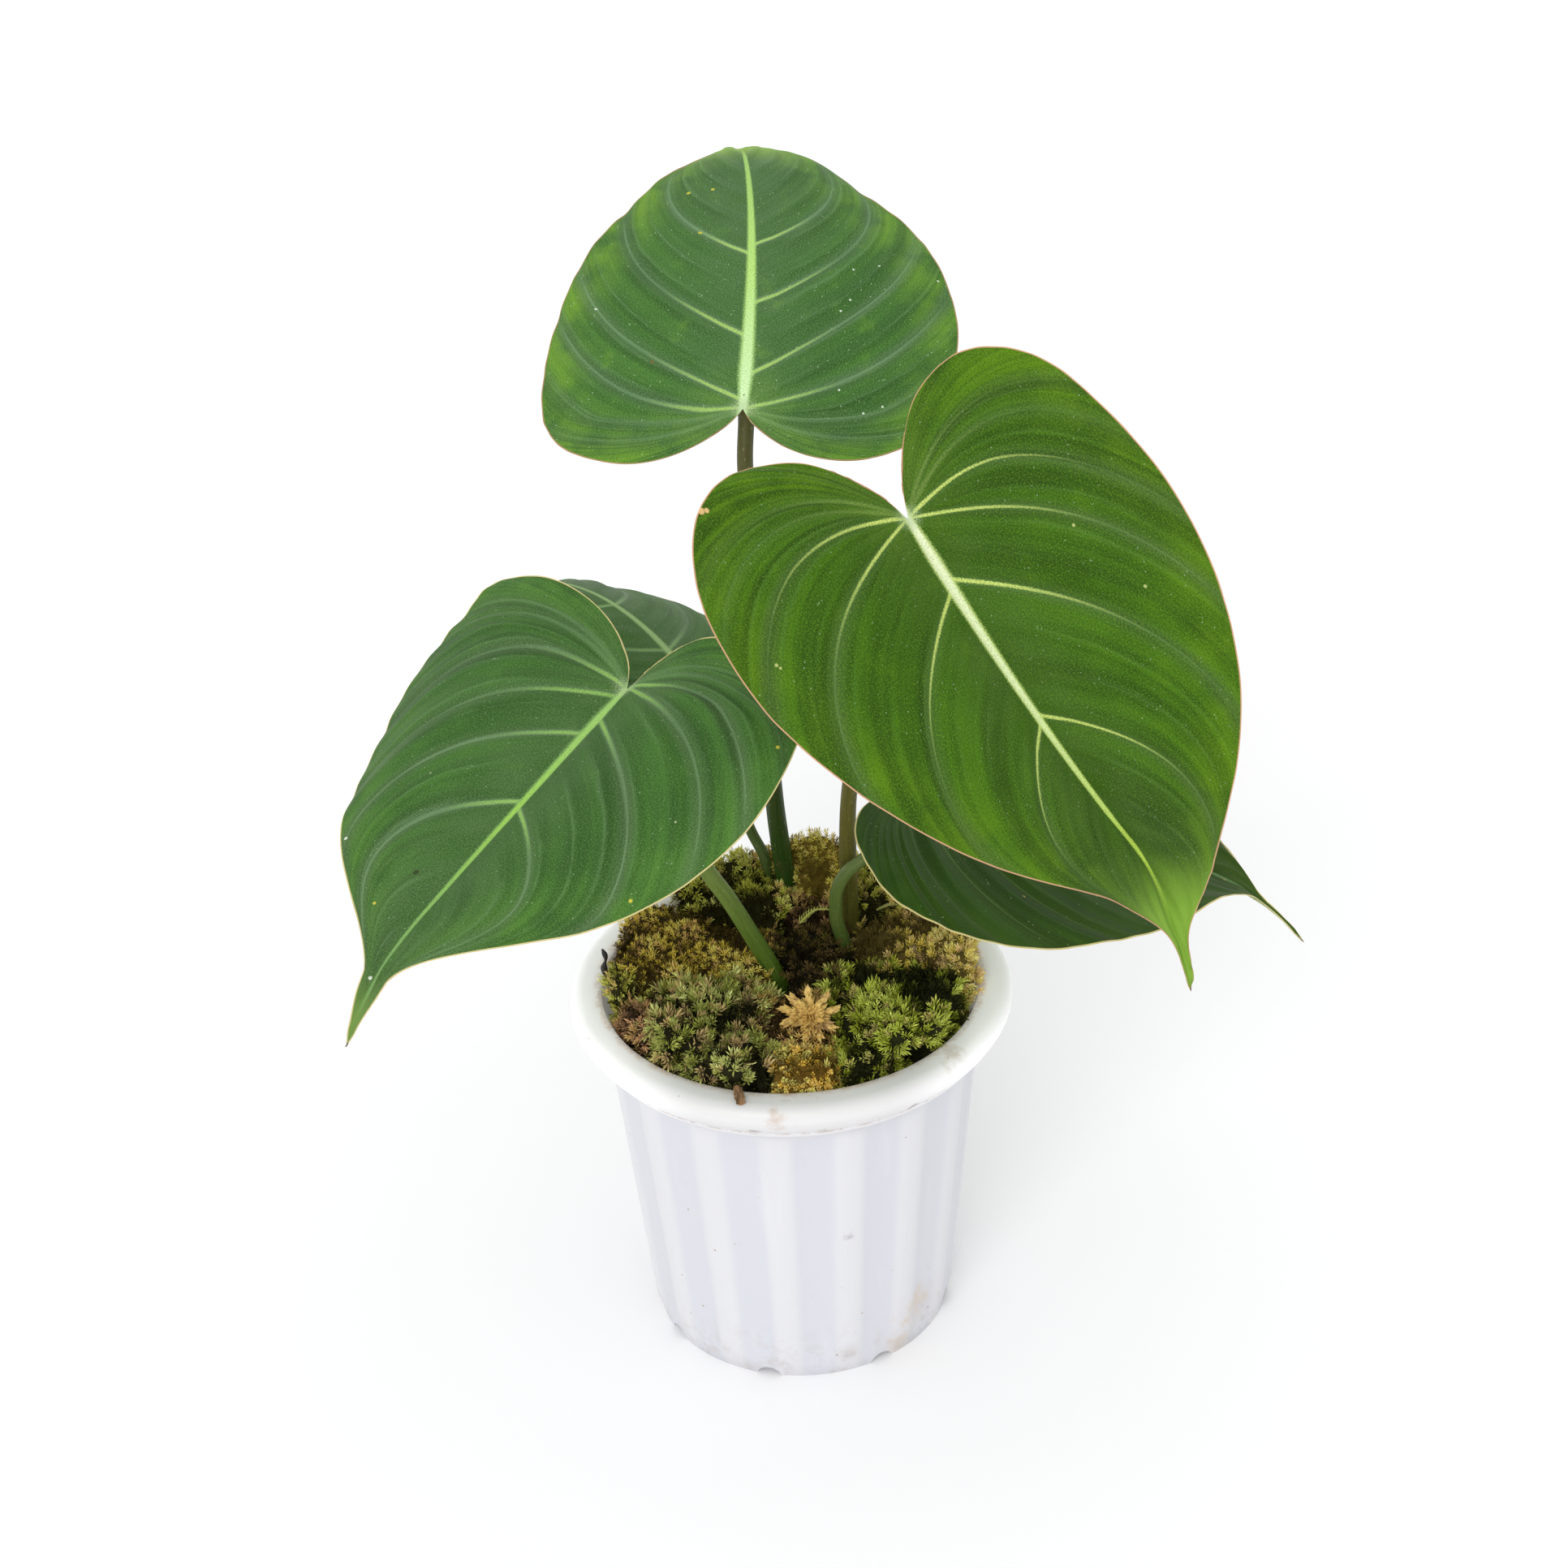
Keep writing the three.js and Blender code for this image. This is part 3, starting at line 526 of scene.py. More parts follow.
@dataclass(frozen=True)
class LeafFinish:
    """Velvety upper side of one blade, with its veins, margin, blemishes and a painted sheen along veins and
    midrib.
    """

    deep: Colour = (0.018, 0.058, 0.001)
    bright: Colour = (0.064, 0.175, 0.005)
    painted_sheen: Colour = (0.066, 0.124, 0.032)
    glow: Colour = (0.15, 0.28, 0.002)
    vein: Colour = (0.6, 0.72, 0.18)
    far_vein: Colour = (0.12, 0.23, 0.07)
    dark: Colour = (0.006, 0.028, 0.002)
    nap: Colour = (0.13, 0.255, 0.018)
    vein_width: float = 0.36 * MM
    vein_fade: tuple[float, float] = (0.12, 0.78)
    far_share: float = 0.35
    painted_sheen_share: float = 0.65
    painted_rib_sheen: float = 0.75
    glow_share: float = 0.38
    contrast: float = 0.78
    midrib: tuple[Colour, Colour, Colour] = ((0.78, 0.84, 0.58), (0.7, 0.8, 0.46), (0.5, 0.68, 0.1))
    midrib_width: tuple[float, float] = (2.1 * MM, 0.32 * MM)
    margin: Colour = (0.6, 0.34, 0.2)
    margin_width: float = 0.42 * MM
    tip: Colour = (0.24, 0.43, 0.045)
    tip_from: float = 0.82
    thorn: float = 0.991
    hub: Colour = (0.4, 0.52, 0.28)
    spots: tuple[Spot, ...] = ()
    speckle: float = 0.5
    fleck: Colour = (0.36, 0.48, 0.3)
    dry_end: Colour = (0.15, 0.09, 0.05)
    pale: tuple[Colour, Colour] = ((0.1, 0.19, 0.055), (0.15, 0.27, 0.075))
    pale_grain: Colour = (0.24, 0.34, 0.17)
    pale_vein: Colour = (0.33, 0.42, 0.18)
    pale_rib: Colour = (0.4, 0.46, 0.21)

    def upper(self, name: str, length: float) -> Material:
        """Make the upper side's material.

        Args:
            name: Name of the leaf.
            length: Length of the blade in metres.

        Returns:
            The material.
        """
        bench = Bench(f"{name}_velvet")
        flat, streak = bench.vector("flat"), bench.vector("streak")
        along, across, _ = bench.parts(flat)
        forward, gap = along / length, abs(bench.number("vein_gap"))
        share, reach = bench.number("vein_share"), bench.number("vein_reach")
        edge, strong = bench.number("edge_gap"), bench.number("vein_strength")
        patches = bench.noise(flat, 13 * MM, 3, 0.55)
        bands = bench.noise(streak, 1.0, 2, 0.5)
        threads = bench.noise(bench.scaled(streak, (4.2, 1.8, 1)), 1.0, 2, 0.6)
        grain = bench.noise(flat, 0.42 * MM, 3, 0.75)
        tone = (bands * 0.5 + threads * 0.3 + patches * 0.2).rise(0.36, 0.64)
        spread = (0.4 + 0.6 * reach.rise(0.04, 0.45)) * self.contrast
        rim = edge.rise(20 * MM, 3 * MM).largest(patches.rise(0.56, 0.8) * 0.8)
        lit = rim * (0.25 + 0.75 * tone) * patches.rise(0.25, 0.6) * self.glow_share
        # Painted sheen: a pale grey-green band along each vein and a broad one along the midrib stand in for
        # the velvet's sheen.
        painted_vein_sheen = gap.rise(4.0 * MM, 0.3 * MM) * (0.3 + 0.7 * strong)
        painted_rib_sheen = abs(across).rise(30 * MM, 2 * MM) * (0.45 + 0.55 * patches.rise(0.3, 0.6)) * self.painted_rib_sheen
        painted_sheen = painted_vein_sheen.largest(painted_rib_sheen) * (0.55 + 0.45 * threads.rise(0.35, 0.65)) * self.painted_sheen_share
        phase = (share + 0.01 * (patches - 0.5)) * (FULL_TURN * FINE_VEINS)
        mid_leaf = reach.rise(0.1, 0.35) * (0.4 + 0.6 * reach.rise(1.0, 0.7))
        ridge = (phase.cos() * 0.5 + 0.5) ** 16 * mid_leaf * threads.rise(0.4, 0.6)
        shade = ((phase + 0.9).cos() * 0.5 + 0.5) ** 6 * mid_leaf
        dots = bench.cells(flat, 1.9 * MM).rise(0.13, 0.06) * bench.noise(flat, 8 * MM, 1).rise(0.42, 0.58)
        line = gap / (self.vein_width * (1.45 - 0.95 * reach.rise(0, 0.8)) * (0.45 + 1.1 * grain))
        far = line.rise(2.6, 0.6) * (0.3 + 0.7 * strong) * reach.rise(1.0, 0.85)
        fade = (reach + 0.35 * (threads - 0.5)).rise(self.vein_fade[1], self.vein_fade[0])
        ink = line.rise(1.5, 0.4) * fade * (0.45 + 0.55 * grain.rise(0.38, 0.58))
        hub = ((along * along + across * across) ** 0.5 * (0.6 + 0.8 * grain)).rise(5 * MM, 1 * MM)
        end = forward.rise(self.tip_from - 0.08, self.tip_from + 0.08)
        thin = (0.3 + 0.7 * forward.rise(0.97, 0.86)) * (0.5 + 0.5 * share.rise(0.15, 0.3))
        margin = (edge / (thin * self.margin_width)).rise(1.0, 0.5) * reach.rise(0.08, 0.3)
        green = bench.coats(
            bench.blend((tone - 0.45) * spread + 0.45, self.deep, self.bright),
            (lit, self.glow),
            (painted_sheen, self.painted_sheen),
            (ridge * 0.5 * self.far_share, self.far_vein),
            (shade * 0.35 * self.contrast, self.dark),
            (grain.rise(0.5, 0.68) * 0.75, self.nap),
            (grain.rise(0.5, 0.3) * 0.7, self.dark),
            (dots * self.speckle, self.fleck),
            (far * self.far_share * (0.5 + 0.5 * threads.rise(0.35, 0.6)), self.far_vein),
            (ink * strong * strong, self.vein),
            self._midrib(bench, forward, across, grain),
            (hub * grain.rise(0.35, 0.6) * 0.8, self.hub),
            (end * 0.85, self.tip),
            (margin * 0.92, self.margin),
            (forward.rise(self.thorn, self.thorn + 0.006), self.dry_end),
            *[self._spotted(bench, spot, flat, grain) for spot in self.spots],
        )
        height = grain * 0.5 + ridge * 0.5 + threads * 0.5
        return bench.surface(
            Base_Color=green, Roughness=0.55 + 0.15 * grain, Specular_IOR_Level=0.1, Sheen_Weight=0.05,
            Sheen_Roughness=0.4, Normal=bench.bump(height, 0.2 * MM, 0.6),
        )

    def _midrib(self, bench: Bench, share: Wire, across: Wire, grain: Wire) -> tuple[Wire, Wire]:
        """Make the midrib's cream band, granular at its edges.

        Args:
            bench: The material's bench.
            share: Share of the length along the midrib.
            across: Distance across the midrib in metres.
            grain: Fine noise.

        Returns:
            Share and colour of the coat.
        """
        wide, narrow = self.midrib_width
        taper = (1 - share.smallest(0.97)) ** 1.7 * (0.55 + 0.45 * share.rise(0.0, 0.1))
        half = narrow + (wide - narrow) * taper
        band = (abs(across) / (half * (0.5 + 1.0 * grain))).rise(1.4, 0.55)
        start, middle, end = self.midrib
        cream = bench.coats(
            bench.ramp(share, [(0.0, start), (0.34, middle), (0.72, end)]),
            ((abs(across) / half).rise(0.4, 1.0) * 0.7, end),
            (grain.rise(0.52, 0.36) * 0.45, self.painted_sheen),
        )
        return band * share.rise(self.tip_from + 0.12, self.tip_from - 0.04), cream

    @staticmethod
    def _spotted(bench: Bench, spot: Spot, flat: Wire, grain: Wire) -> tuple[Wire, Colour]:
        """Return share and colour of the coat for one blemish, at a flat place and with a fine grain."""
        distance = bench.distance(flat, (spot.along, spot.across, 0)) / (spot.radius * MM)
        return (distance + (grain - 0.5) * 0.7).rise(1.05, 0.6) * 0.9, spot.colour

    def under(self, name: str, length: float) -> Material:
        """Make the paler underside's material, with raised veins.

        Args:
            name: Name of the leaf.
            length: Length of the blade in metres.

        Returns:
            The material.
        """
        bench = Bench(f"{name}_underside")
        flat = bench.vector("flat")
        along, across, _ = bench.parts(flat)
        gap, edge = abs(bench.number("vein_gap")), bench.number("edge_gap")
        reach = bench.number("vein_reach")
        grain = bench.noise(flat, 0.6 * MM, 3, 0.6)
        patches = bench.noise(flat, 18 * MM, 3)
        half = 2.6 * MM * (1.12 - (along / length).smallest(1.0))
        green = bench.coats(
            bench.blend(patches.rise(0.3, 0.7), *self.pale),
            (grain.rise(0.45, 0.75) * 0.35, self.pale_grain),
            (gap.rise(1.1 * MM, 0.35 * MM) * (1 - 0.6 * reach), self.pale_vein),
            ((abs(across) / half).rise(1.2, 0.8), self.pale_rib),
            (edge.rise(self.margin_width, 0.1 * MM) * 0.8, self.margin),
        )
        return bench.surface(
            Base_Color=green, Roughness=0.5 + 0.15 * grain, Specular_IOR_Level=0.35, Sheen_Weight=0.12,
            Normal=bench.bump(grain, 0.12 * MM, 0.6),
        )


@dataclass(frozen=True)
class StalkFinish:
    """Skin of a petiole: striated green, with its own shade below and above."""

    foot: Colour
    middle: Colour
    head: Colour
    streak: Colour
    mottle: float = 0.2
    gloss: float = 0.42
    shadow: Colour = (0.015, 0.035, 0.004)
    brown: Colour = (0.1, 0.055, 0.025)
    fleck: Colour = (0.36, 0.4, 0.2)
    soil: Colour = (0.05, 0.032, 0.016)

    def material(self, name: str, length: float) -> Material:
        """Make the skin's material.

        Args:
            name: Name of the stalk.
            length: Its length in metres.

        Returns:
            The material.
        """
        bench = Bench(f"{name}_skin")
        straight = bench.vector("straight")
        _, _, along = bench.parts(straight)
        lines = bench.noise(bench.scaled(straight, (1, 1, 0.035)), 0.5 * MM, 3, 0.6)
        blotch = bench.noise(bench.scaled(straight, (1, 1, 0.45)), 2.4 * MM, 4, 0.65)
        grain = bench.noise(straight, 0.35 * MM, 2, 0.6)
        stops = [(0.1, self.foot), (0.45, self.middle), (0.95, self.head)]
        flecks = bench.cells(bench.scaled(straight, (1, 1, 0.4)), 1.1 * MM).rise(0.2, 0.1)
        skin = bench.coats(
            bench.ramp(along / length, stops),
            (lines.rise(0.48, 0.75) * 0.35, self.streak),
            (lines.rise(0.5, 0.3) * 0.3, self.shadow),
            (grain.rise(0.5, 0.75) * 0.3, self.streak),
            (blotch.rise(0.5, 0.7) * self.mottle, self.brown),
            (flecks * 0.3, self.fleck),
            (along.rise(7 * MM, 0.5 * MM) * grain.rise(0.4, 0.6) * 0.7, self.soil),
        )
        return bench.surface(
            Base_Color=skin, Roughness=self.gloss + 0.14 * grain, Specular_IOR_Level=0.22,
            Normal=bench.bump(lines * 0.7 + grain * 0.3, 0.14 * MM, 0.6),
        )


@dataclass(frozen=True)
class Mark:
    """One stain on the pot: its place and radius in millimetres, how strong it is, and its colour."""

    centre: Point
    radius: float
    share: float
    colour: Colour


@dataclass(frozen=True)
class PotFinish:
    """White moulded plastic with faint flow marks, scuffs and soil; painted shade between the ribs and
    painted light on the rim.
    """

    white: Colour = (0.645, 0.645, 0.67)
    warm: Colour = (0.7, 0.69, 0.69)
    painted_light_white: Colour = (0.95, 0.945, 0.95)
    painted_panel_shade: Colour = (0.5, 0.52, 0.59)
    painted_glow_wall: Colour = (0.29, 0.29, 0.31)
    soil: Colour = (0.33, 0.22, 0.13)
    lip_stain: Colour = (0.48, 0.29, 0.14)
    shade: Colour = (0.6, 0.6, 0.65)
    flow_mark: Colour = (0.74, 0.74, 0.76)
    # Strength of the painted glow of the emission.
    glow: float = 0.14
    marks: tuple[Mark, ...] = (
        Mark((34, -31, 15), 13, 0.6, (0.55, 0.41, 0.26)),
        Mark((28, -35, 4), 9, 0.55, (0.5, 0.38, 0.25)),
        Mark((14.3, -49.8, 56), 3.2, 0.85, (0.12, 0.1, 0.09)),
        Mark((-19.8, -52.2, 84.2), 4.0, 0.6, (0.4, 0.33, 0.26)),
        Mark((12, -43.4, 8.2), 4.5, 0.6, (0.25, 0.18, 0.12)),
        Mark((-5.8, -60.8, 108), 5.6, 0.7, (0.5, 0.36, 0.25)),
        Mark((44, -40, 111), 7.0, 0.6, (0.45, 0.33, 0.22)),
        Mark((-11.8, -59.9, 102.8), 3.0, 0.95, (0.15, 0.1, 0.07)),
        Mark((7.8, -60.6, 102.8), 3.0, 0.95, (0.15, 0.1, 0.07)),
        Mark((32.5, -51.3, 102.8), 3.0, 0.95, (0.15, 0.1, 0.07)),
    )

    def material(
        self, bead_height: float, foot: float, ribs: int, azimuth: float, lip: float
    ) -> Material:
        """Make the pot's material.

        Args:
            bead_height: Height of the line under the rim, in metres.
            foot: Height of the foot band, in metres.
            ribs: Number of ribs.
            azimuth: Direction of one rib, in radians.
            lip: Radius of the rim's inner edge, in metres.

        Returns:
            The material.
        """
        bench = Bench("moulded_white_plastic")
        place = bench.place()
        x, y, height = bench.parts(place)
        # Painted shade: below the rim, the panels between the ribs are darkened and tinted blue.
        between = ((bench.math("ARCTAN2", y, x) - azimuth) * ribs).cos().rise(0.75, -0.3)
        broad = bench.noise(place, 45 * MM, 2)
        flow = bench.noise(bench.scaled(place, (1, 1, 0.12)), 6 * MM, 3, 0.6)
        fine = bench.noise(place, 0.5 * MM, 2, 0.7)
        rubbed = bench.noise(place, 5 * MM, 5, 0.7)
        stained = bench.noise(place, 3 * MM, 5, 0.75)
        # Painted light: the rim's left and right sides are painted whiter, and the emission makes the pot
        # glow faintly, most at the rim's sides.
        sides, rim = (abs(x) / lip).rise(0.45, 1.0), height.rise(94 * MM, 104 * MM)
        lit = bench.blend(rim * sides, self.painted_glow_wall, self.painted_light_white)
        bead = abs(height - bead_height).rise(0.75 * MM, 0.15 * MM) * rubbed.rise(0.42, 0.62)
        grimy = bench.noise(place, 21 * MM, 1).rise(0.46, 0.58)
        specks = bench.cells(place, 6 * MM).rise(0.085, 0.035) * grimy
        smears = rubbed.rise(0.6, 0.78) * bench.noise(place, 26 * MM, 1).rise(0.52, 0.66)
        low = height.rise(foot * 4, foot * 0.4) * rubbed.rise(0.46, 0.66)
        edge = ((x * x + y * y) ** 0.5).rise(lip + 3.2 * MM, lip + 1.2 * MM) * height.rise(98 * MM, 106 * MM)
        top = height.rise(110.0 * MM, 112 * MM) * stained.rise(0.6, 0.72)
        white = bench.coats(
            self.white,
            # painted shade between the ribs
            (between * height.rise(98 * MM, 92 * MM) * 0.42, self.painted_panel_shade),
            # painted light: the rim turns whiter towards its sides
            (rim, bench.blend(sides, self.warm, self.painted_light_white)),
            (broad.rise(0.35, 0.7) * 0.15, self.shade),
            (flow.rise(0.55, 0.8) * 0.2, self.flow_mark),
            (bead * 0.55, self.soil),
            (specks * 0.8, self.soil),
            *[self._stain(bench, mark, place, rubbed) for mark in self.marks],
            (smears * 0.28, self.soil),
            (low * 0.22, self.soil),
            (edge * stained.rise(0.36, 0.6) * 0.55, self.lip_stain),
            (top * 0.22, self.soil),
        )
        scratch = bench.noise(bench.scaled(place, (1, 1, 0.04)), 1.4 * MM, 2).rise(0.66, 0.72)
        return bench.surface(
            Base_Color=white, Roughness=0.34 + 0.18 * smears + 0.1 * flow, Specular_IOR_Level=0.45,
            Subsurface_Weight=0.12, Subsurface_Radius=(1.0, 0.9, 0.85), Subsurface_Scale=1.5 * MM,
            # Painted glow: the emission brightens the whole pot faintly and the rim's sides most.
            Emission_Color=lit, Emission_Strength=self.glow,
            Normal=bench.bump(fine * 0.5 + flow * 0.4 + scratch * 0.6, 0.05 * MM, 0.5),
        )

    @staticmethod
    def _stain(bench: Bench, mark: Mark, place: Wire, rubbed: Wire) -> tuple[Wire, Colour]:
        """Return share and colour of the coat for one mark, broken up by a rubbed pattern."""
        distance = bench.distance(place, mark.centre) / (mark.radius * MM)
        return (distance + rubbed * 2.8).rise(2.25, 1.2) * mark.share, mark.colour


@dataclass(frozen=True)
class MixFinish:
    """Dark crumbs of bark and peat."""

    dark: Colour = (0.018, 0.011, 0.007)
    crumb: Colour = (0.085, 0.05, 0.028)
    bark: Colour = (0.13, 0.085, 0.05)

    def material(self) -> Material:
        """Make the potting mix's material.

        Returns:
            The material.
        """
        bench = Bench("crumbly_mix")
        place = bench.place()
        lumps = bench.cells(place, 1.8 * MM)
        fine = bench.noise(place, 0.7 * MM, 4, 0.7)
        earth = bench.blend(fine.rise(0.35, 0.7), self.dark, self.crumb)
        earth = bench.blend(lumps.rise(0.55, 0.2) * 0.5, earth, self.bark)
        return bench.surface(
            Base_Color=earth, Roughness=0.9,
            Normal=bench.bump(fine * 0.6 + lumps * 0.4, 0.8 * MM, 1.0),
        )


@dataclass(frozen=True)
class StemFinish:
    """Ringed olive skin of the creeping stem."""

    olive: Colour = (0.17, 0.18, 0.06)
    scar: Colour = (0.2, 0.13, 0.07)
    dark: Colour = (0.09, 0.1, 0.035)

    def material(self, length: float, nodes: int) -> Material:
        """Make the stem's material.

        Args:
            length: Length of the stem in metres.
            nodes: Number of rings along it.

        Returns:
            The material.
        """
        bench = Bench("ringed_stem")
        straight = bench.vector("straight")
        _, _, along = bench.parts(straight)
        ring = (along * (FULL_TURN * nodes / length)).cos()
        bark = bench.noise(bench.scaled(straight, (1, 1, 0.3)), 1.2 * MM, 4, 0.65)
        skin = bench.blend(bark.rise(0.4, 0.7), self.olive, self.dark)
        skin = bench.blend(ring.rise(0.72, 0.95), skin, self.scar)
        return bench.surface(
            Base_Color=skin, Roughness=0.55 + 0.2 * bark,
            Normal=bench.bump(bark * 0.6 + ring.rise(0.6, 1.0) * 0.4, 0.4 * MM, 0.8),
        )


@dataclass(frozen=True)
class MossFinish:
    """Colours of one moss cushion, from its dark heart, which is also the painted shade in its creases, to
    its shoot tips.
    """

    heart: Colour
    body: Colour
    tip: Colour
    dry: Colour
    dry_share: float = 0.25

    def material(self, name: str) -> Material:
        """Make the moss material.

        Args:
            name: Name of the cushion or sprig.

        Returns:
            The material.
        """
        bench = Bench(f"{name}_moss")
        place = bench.place()
        # The stored tip value is lowered in the creases, so the heart colour there is painted shade.
        tip, tint = bench.number("tip"), bench.number("tint")
        patches = bench.noise(place, 6.5 * MM, 3, 0.6)
        fine = bench.noise(bench.scaled(place, (1, 1, 0.4)), 0.45 * MM, 3, 0.75)
        tip = tip * (0.35 + 1.1 * fine)
        wither = (tint * 0.45 + patches * 1.1).rise(1.0 - self.dry_share, 1.12 - self.dry_share)
        colour = bench.coats(
            bench.blend(tip.rise(0.04, 0.27), self.heart, self.body),
            (tip.rise(0.17, 0.6) * (0.25 + 0.75 * tint), self.tip),
            (wither, bench.blend(tip.rise(0.05, 0.42), self.heart, self.dry)),
            ((tint * 7.3).cos().rise(0.2, -0.9) * 0.25, self.heart),
            (fine.rise(0.5, 0.3) * 0.25, self.heart),
        )
        return bench.surface(
            Base_Color=colour, Roughness=0.72, Specular_IOR_Level=0.12,
            Normal=bench.bump(fine, 0.4 * MM, 0.7),
        )


@dataclass(frozen=True)
class ScrapFinish:
    """A dry or dark scrap: root, husk or flake, mottled and fibrous."""

    light: Colour
    dark: Colour
    grain: float = 0.8 * MM
    rough: float = 0.7

    def material(self, name: str) -> Material:
        """Make the scrap's material.

        Args:
            name: Name of the scrap.

        Returns:
            The material.
        """
        bench = Bench(f"{name}_scrap")
        place = bench.place()
        fibre = bench.noise(bench.scaled(place, (1, 0.25, 1)), self.grain, 4, 0.7)
        fine = bench.noise(place, self.grain * 0.3, 2)
        colour = bench.blend(fibre.rise(0.35, 0.66), self.dark, self.light)
        return bench.surface(
            Base_Color=colour, Roughness=self.rough + 0.1 * fine,
            Normal=bench.bump(fibre * 0.7 + fine * 0.3, 0.3 * MM, 0.8),
        )


# ---- pot


@dataclass
class PotShell:
    """The ribbed nursery pot, turned from the pad under its floor round the rim to the floor's top."""

    foot_radius: float = 44 * MM
    foot_band: float = 6 * MM
    neck_radius: float = 53.5 * MM
    neck_height: float = 99 * MM
    neck_band: float = 3 * MM
    skirt_radius: float = 58.6 * MM
    skirt_height: float = 99.3 * MM
    rim_radius: float = 64 * MM
    roll_radius: float = 4 * MM
    lip_radius: float = 54.6 * MM
    height: float = 112 * MM
    wall: float = 1.6 * MM
    floor_height: float = 3 * MM
    pad_radius: float = 14 * MM
    ribs: int = 16
    rib_height: float = 1.1 * MM
    rib_azimuth: float = math.radians(-96.7)
    rib_section: tuple[float, ...] = (1.0, 0.97, 0.8, 0.3, 0.02, -0.1, -0.15)
    rib_columns: int = 12
    rib_end_share: float = 0.55
    notches: int = 8
    notch_radius: float = 4 * MM
    notch_height: float = -1.2 * MM
    notch_azimuth: float = math.radians(-60)
    drains: int = 8
    drain_radius: float = 4 * MM
    drain_circle: float = 28 * MM
    finish: PotFinish = field(default_factory=PotFinish)

    def wall_radius(self, height: float) -> float:
        """Return the outside radius of the wall between the ribs, at a height."""
        return self.foot_radius + (self.neck_radius - self.foot_radius) / self.neck_height * height

    def profile(self) -> list[tuple[float, float]]:
        """Return radius and height of each ring, from the pad's edge round the rim to the floor's top.

        Returns:
            The rings, in metres.
        """
        pad, foot, neck, skirt, rim, lip = (
            radius / MM for radius in (
                self.pad_radius, self.foot_radius, self.neck_radius, self.skirt_radius, self.rim_radius,
                self.lip_radius,
            )
        )
        wall, floor, hem = self.wall / MM, self.floor_height / MM, self.skirt_height / MM
        roll, top, neck_height = self.roll_radius / MM, self.height / MM, self.neck_height / MM
        middle = top - roll
        low, high = self.foot_band / MM, (self.neck_height - self.neck_band) / MM
        even = np.linspace(low, high, 13)
        heights = [low, low + 1.2, *even[1:-1], high - 1.2, high]
        floor_top, halfway = floor + wall, neck_height / 2
        rings = [
            (pad, 0), (pad + 1, floor), (foot - wall, floor), (foot - wall, 0.25), (foot - wall + 0.25, 0),
            (foot - 0.3, 0), (foot, 0.3),
            *[(self.wall_radius(height * MM) / MM, height) for height in heights],
            (neck, neck_height), (neck + 0.6, middle - 0.6), (rim - roll - wall, top - wall),
            (rim - wall, middle), (skirt - 1.1, hem + 0.2), (skirt - 1.0, hem), (skirt - 0.2, hem),
            (skirt, hem + 0.3), (skirt + 0.35, hem + 1.3), (skirt + 0.1, hem + 1.6), (skirt + 1.1, hem + 2.2),
            (skirt + 3.4, hem + 4.7),
            *[
                (rim - roll + roll * math.cos(angle), middle + roll * math.sin(angle))
                for angle in np.radians(np.linspace(-12, 90, 10))
            ],
            (lip + 1.6, top), (lip + 0.7, top - 0.15), (lip + 0.15, top - 0.5), (lip, top - 1.0),
            (neck - wall + 0.6, middle - wall), (neck - wall, neck_height),
            (self.wall_radius(halfway * MM) / MM - wall, halfway),
            (self.wall_radius(floor_top * MM) / MM - wall, floor_top),
        ]
        return [(radius * MM, height * MM) for radius, height in rings]

    def build(self) -> Piece:
        """Turn, rib, notch and drain the pot.

        Returns:
            The pot.
        """
        pot = turned("nursery_pot", self.profile(), self.ribs * self.rib_columns)
        self._press_ribs(pot)
        notch_place = (self.foot_radius, self.notch_height)
        drain_place = (self.drain_circle, self.floor_height)
        lying = (math.pi / 2, 0, math.pi / 2)
        notches = self._pins(self.notches, self.notch_radius, notch_place, self.notch_azimuth, lying)
        drains = self._pins(self.drains, self.drain_radius, drain_place, math.pi / self.drains)
        for cutter in (notches, drains):
            finish_modifier(pot, "BOOLEAN", operation="DIFFERENCE", solver="EXACT", object=cutter)
            bpy.data.objects.remove(cutter)
        finish_modifier(
            pot, "BEVEL", width=0.25 * MM, segments=2, limit_method="ANGLE", angle_limit=math.radians(50)
        )
        smooth_by_angle(pot, 40)
        bead = self.skirt_height + 1.5 * MM
        dress(pot, self.finish.material(bead, self.foot_band, self.ribs, self.rib_azimuth, self.lip_radius))
        return pot

    def _press_ribs(self, pot: Piece) -> None:
        """Move the wall's outside out at each rib's crest and slightly in between the ribs.

        Args:
            pot: The turned pot, whose first column of vertices becomes a crest.
        """
        columns = self.rib_columns
        points = points_of(pot)
        radius, height = np.hypot(points[:, 0], points[:, 1]), points[:, 2]
        turn = np.arctan2(points[:, 1], points[:, 0])
        column = np.round(turn * self.ribs * columns / FULL_TURN).astype(int) % columns
        offset = np.minimum(column, columns - column)
        outside = np.abs(radius - self.wall_radius(height)) < 0.3 * MM
        low, high = self.foot_band, self.neck_height - self.neck_band
        ribbed = outside & (height > low - 0.1 * MM) & (height < high + 0.1 * MM)
        ends = np.minimum(height - low, high - height) < 0.3 * MM
        for place, raised in enumerate(self.rib_section):
            for at_end, share in ((False, 1.0), (True, self.rib_end_share)):
                chosen = ribbed & (offset == place) & (ends == at_end)
                for level in np.unique(np.round(height[chosen], 6)):
                    wall = self.wall_radius(level)
                    scale = (wall + self.rib_height * raised * share) / wall
                    with editing(pot, chosen & (np.abs(height - level) < 1e-5)):
                        bpy.ops.transform.resize(value=(scale, scale, 1), center_override=(0, 0, level))
        with editing(pot):
            # Without a window this operator turns the other way.
            bpy.ops.transform.rotate(value=-self.rib_azimuth, orient_axis="Z", center_override=(0, 0, 0))

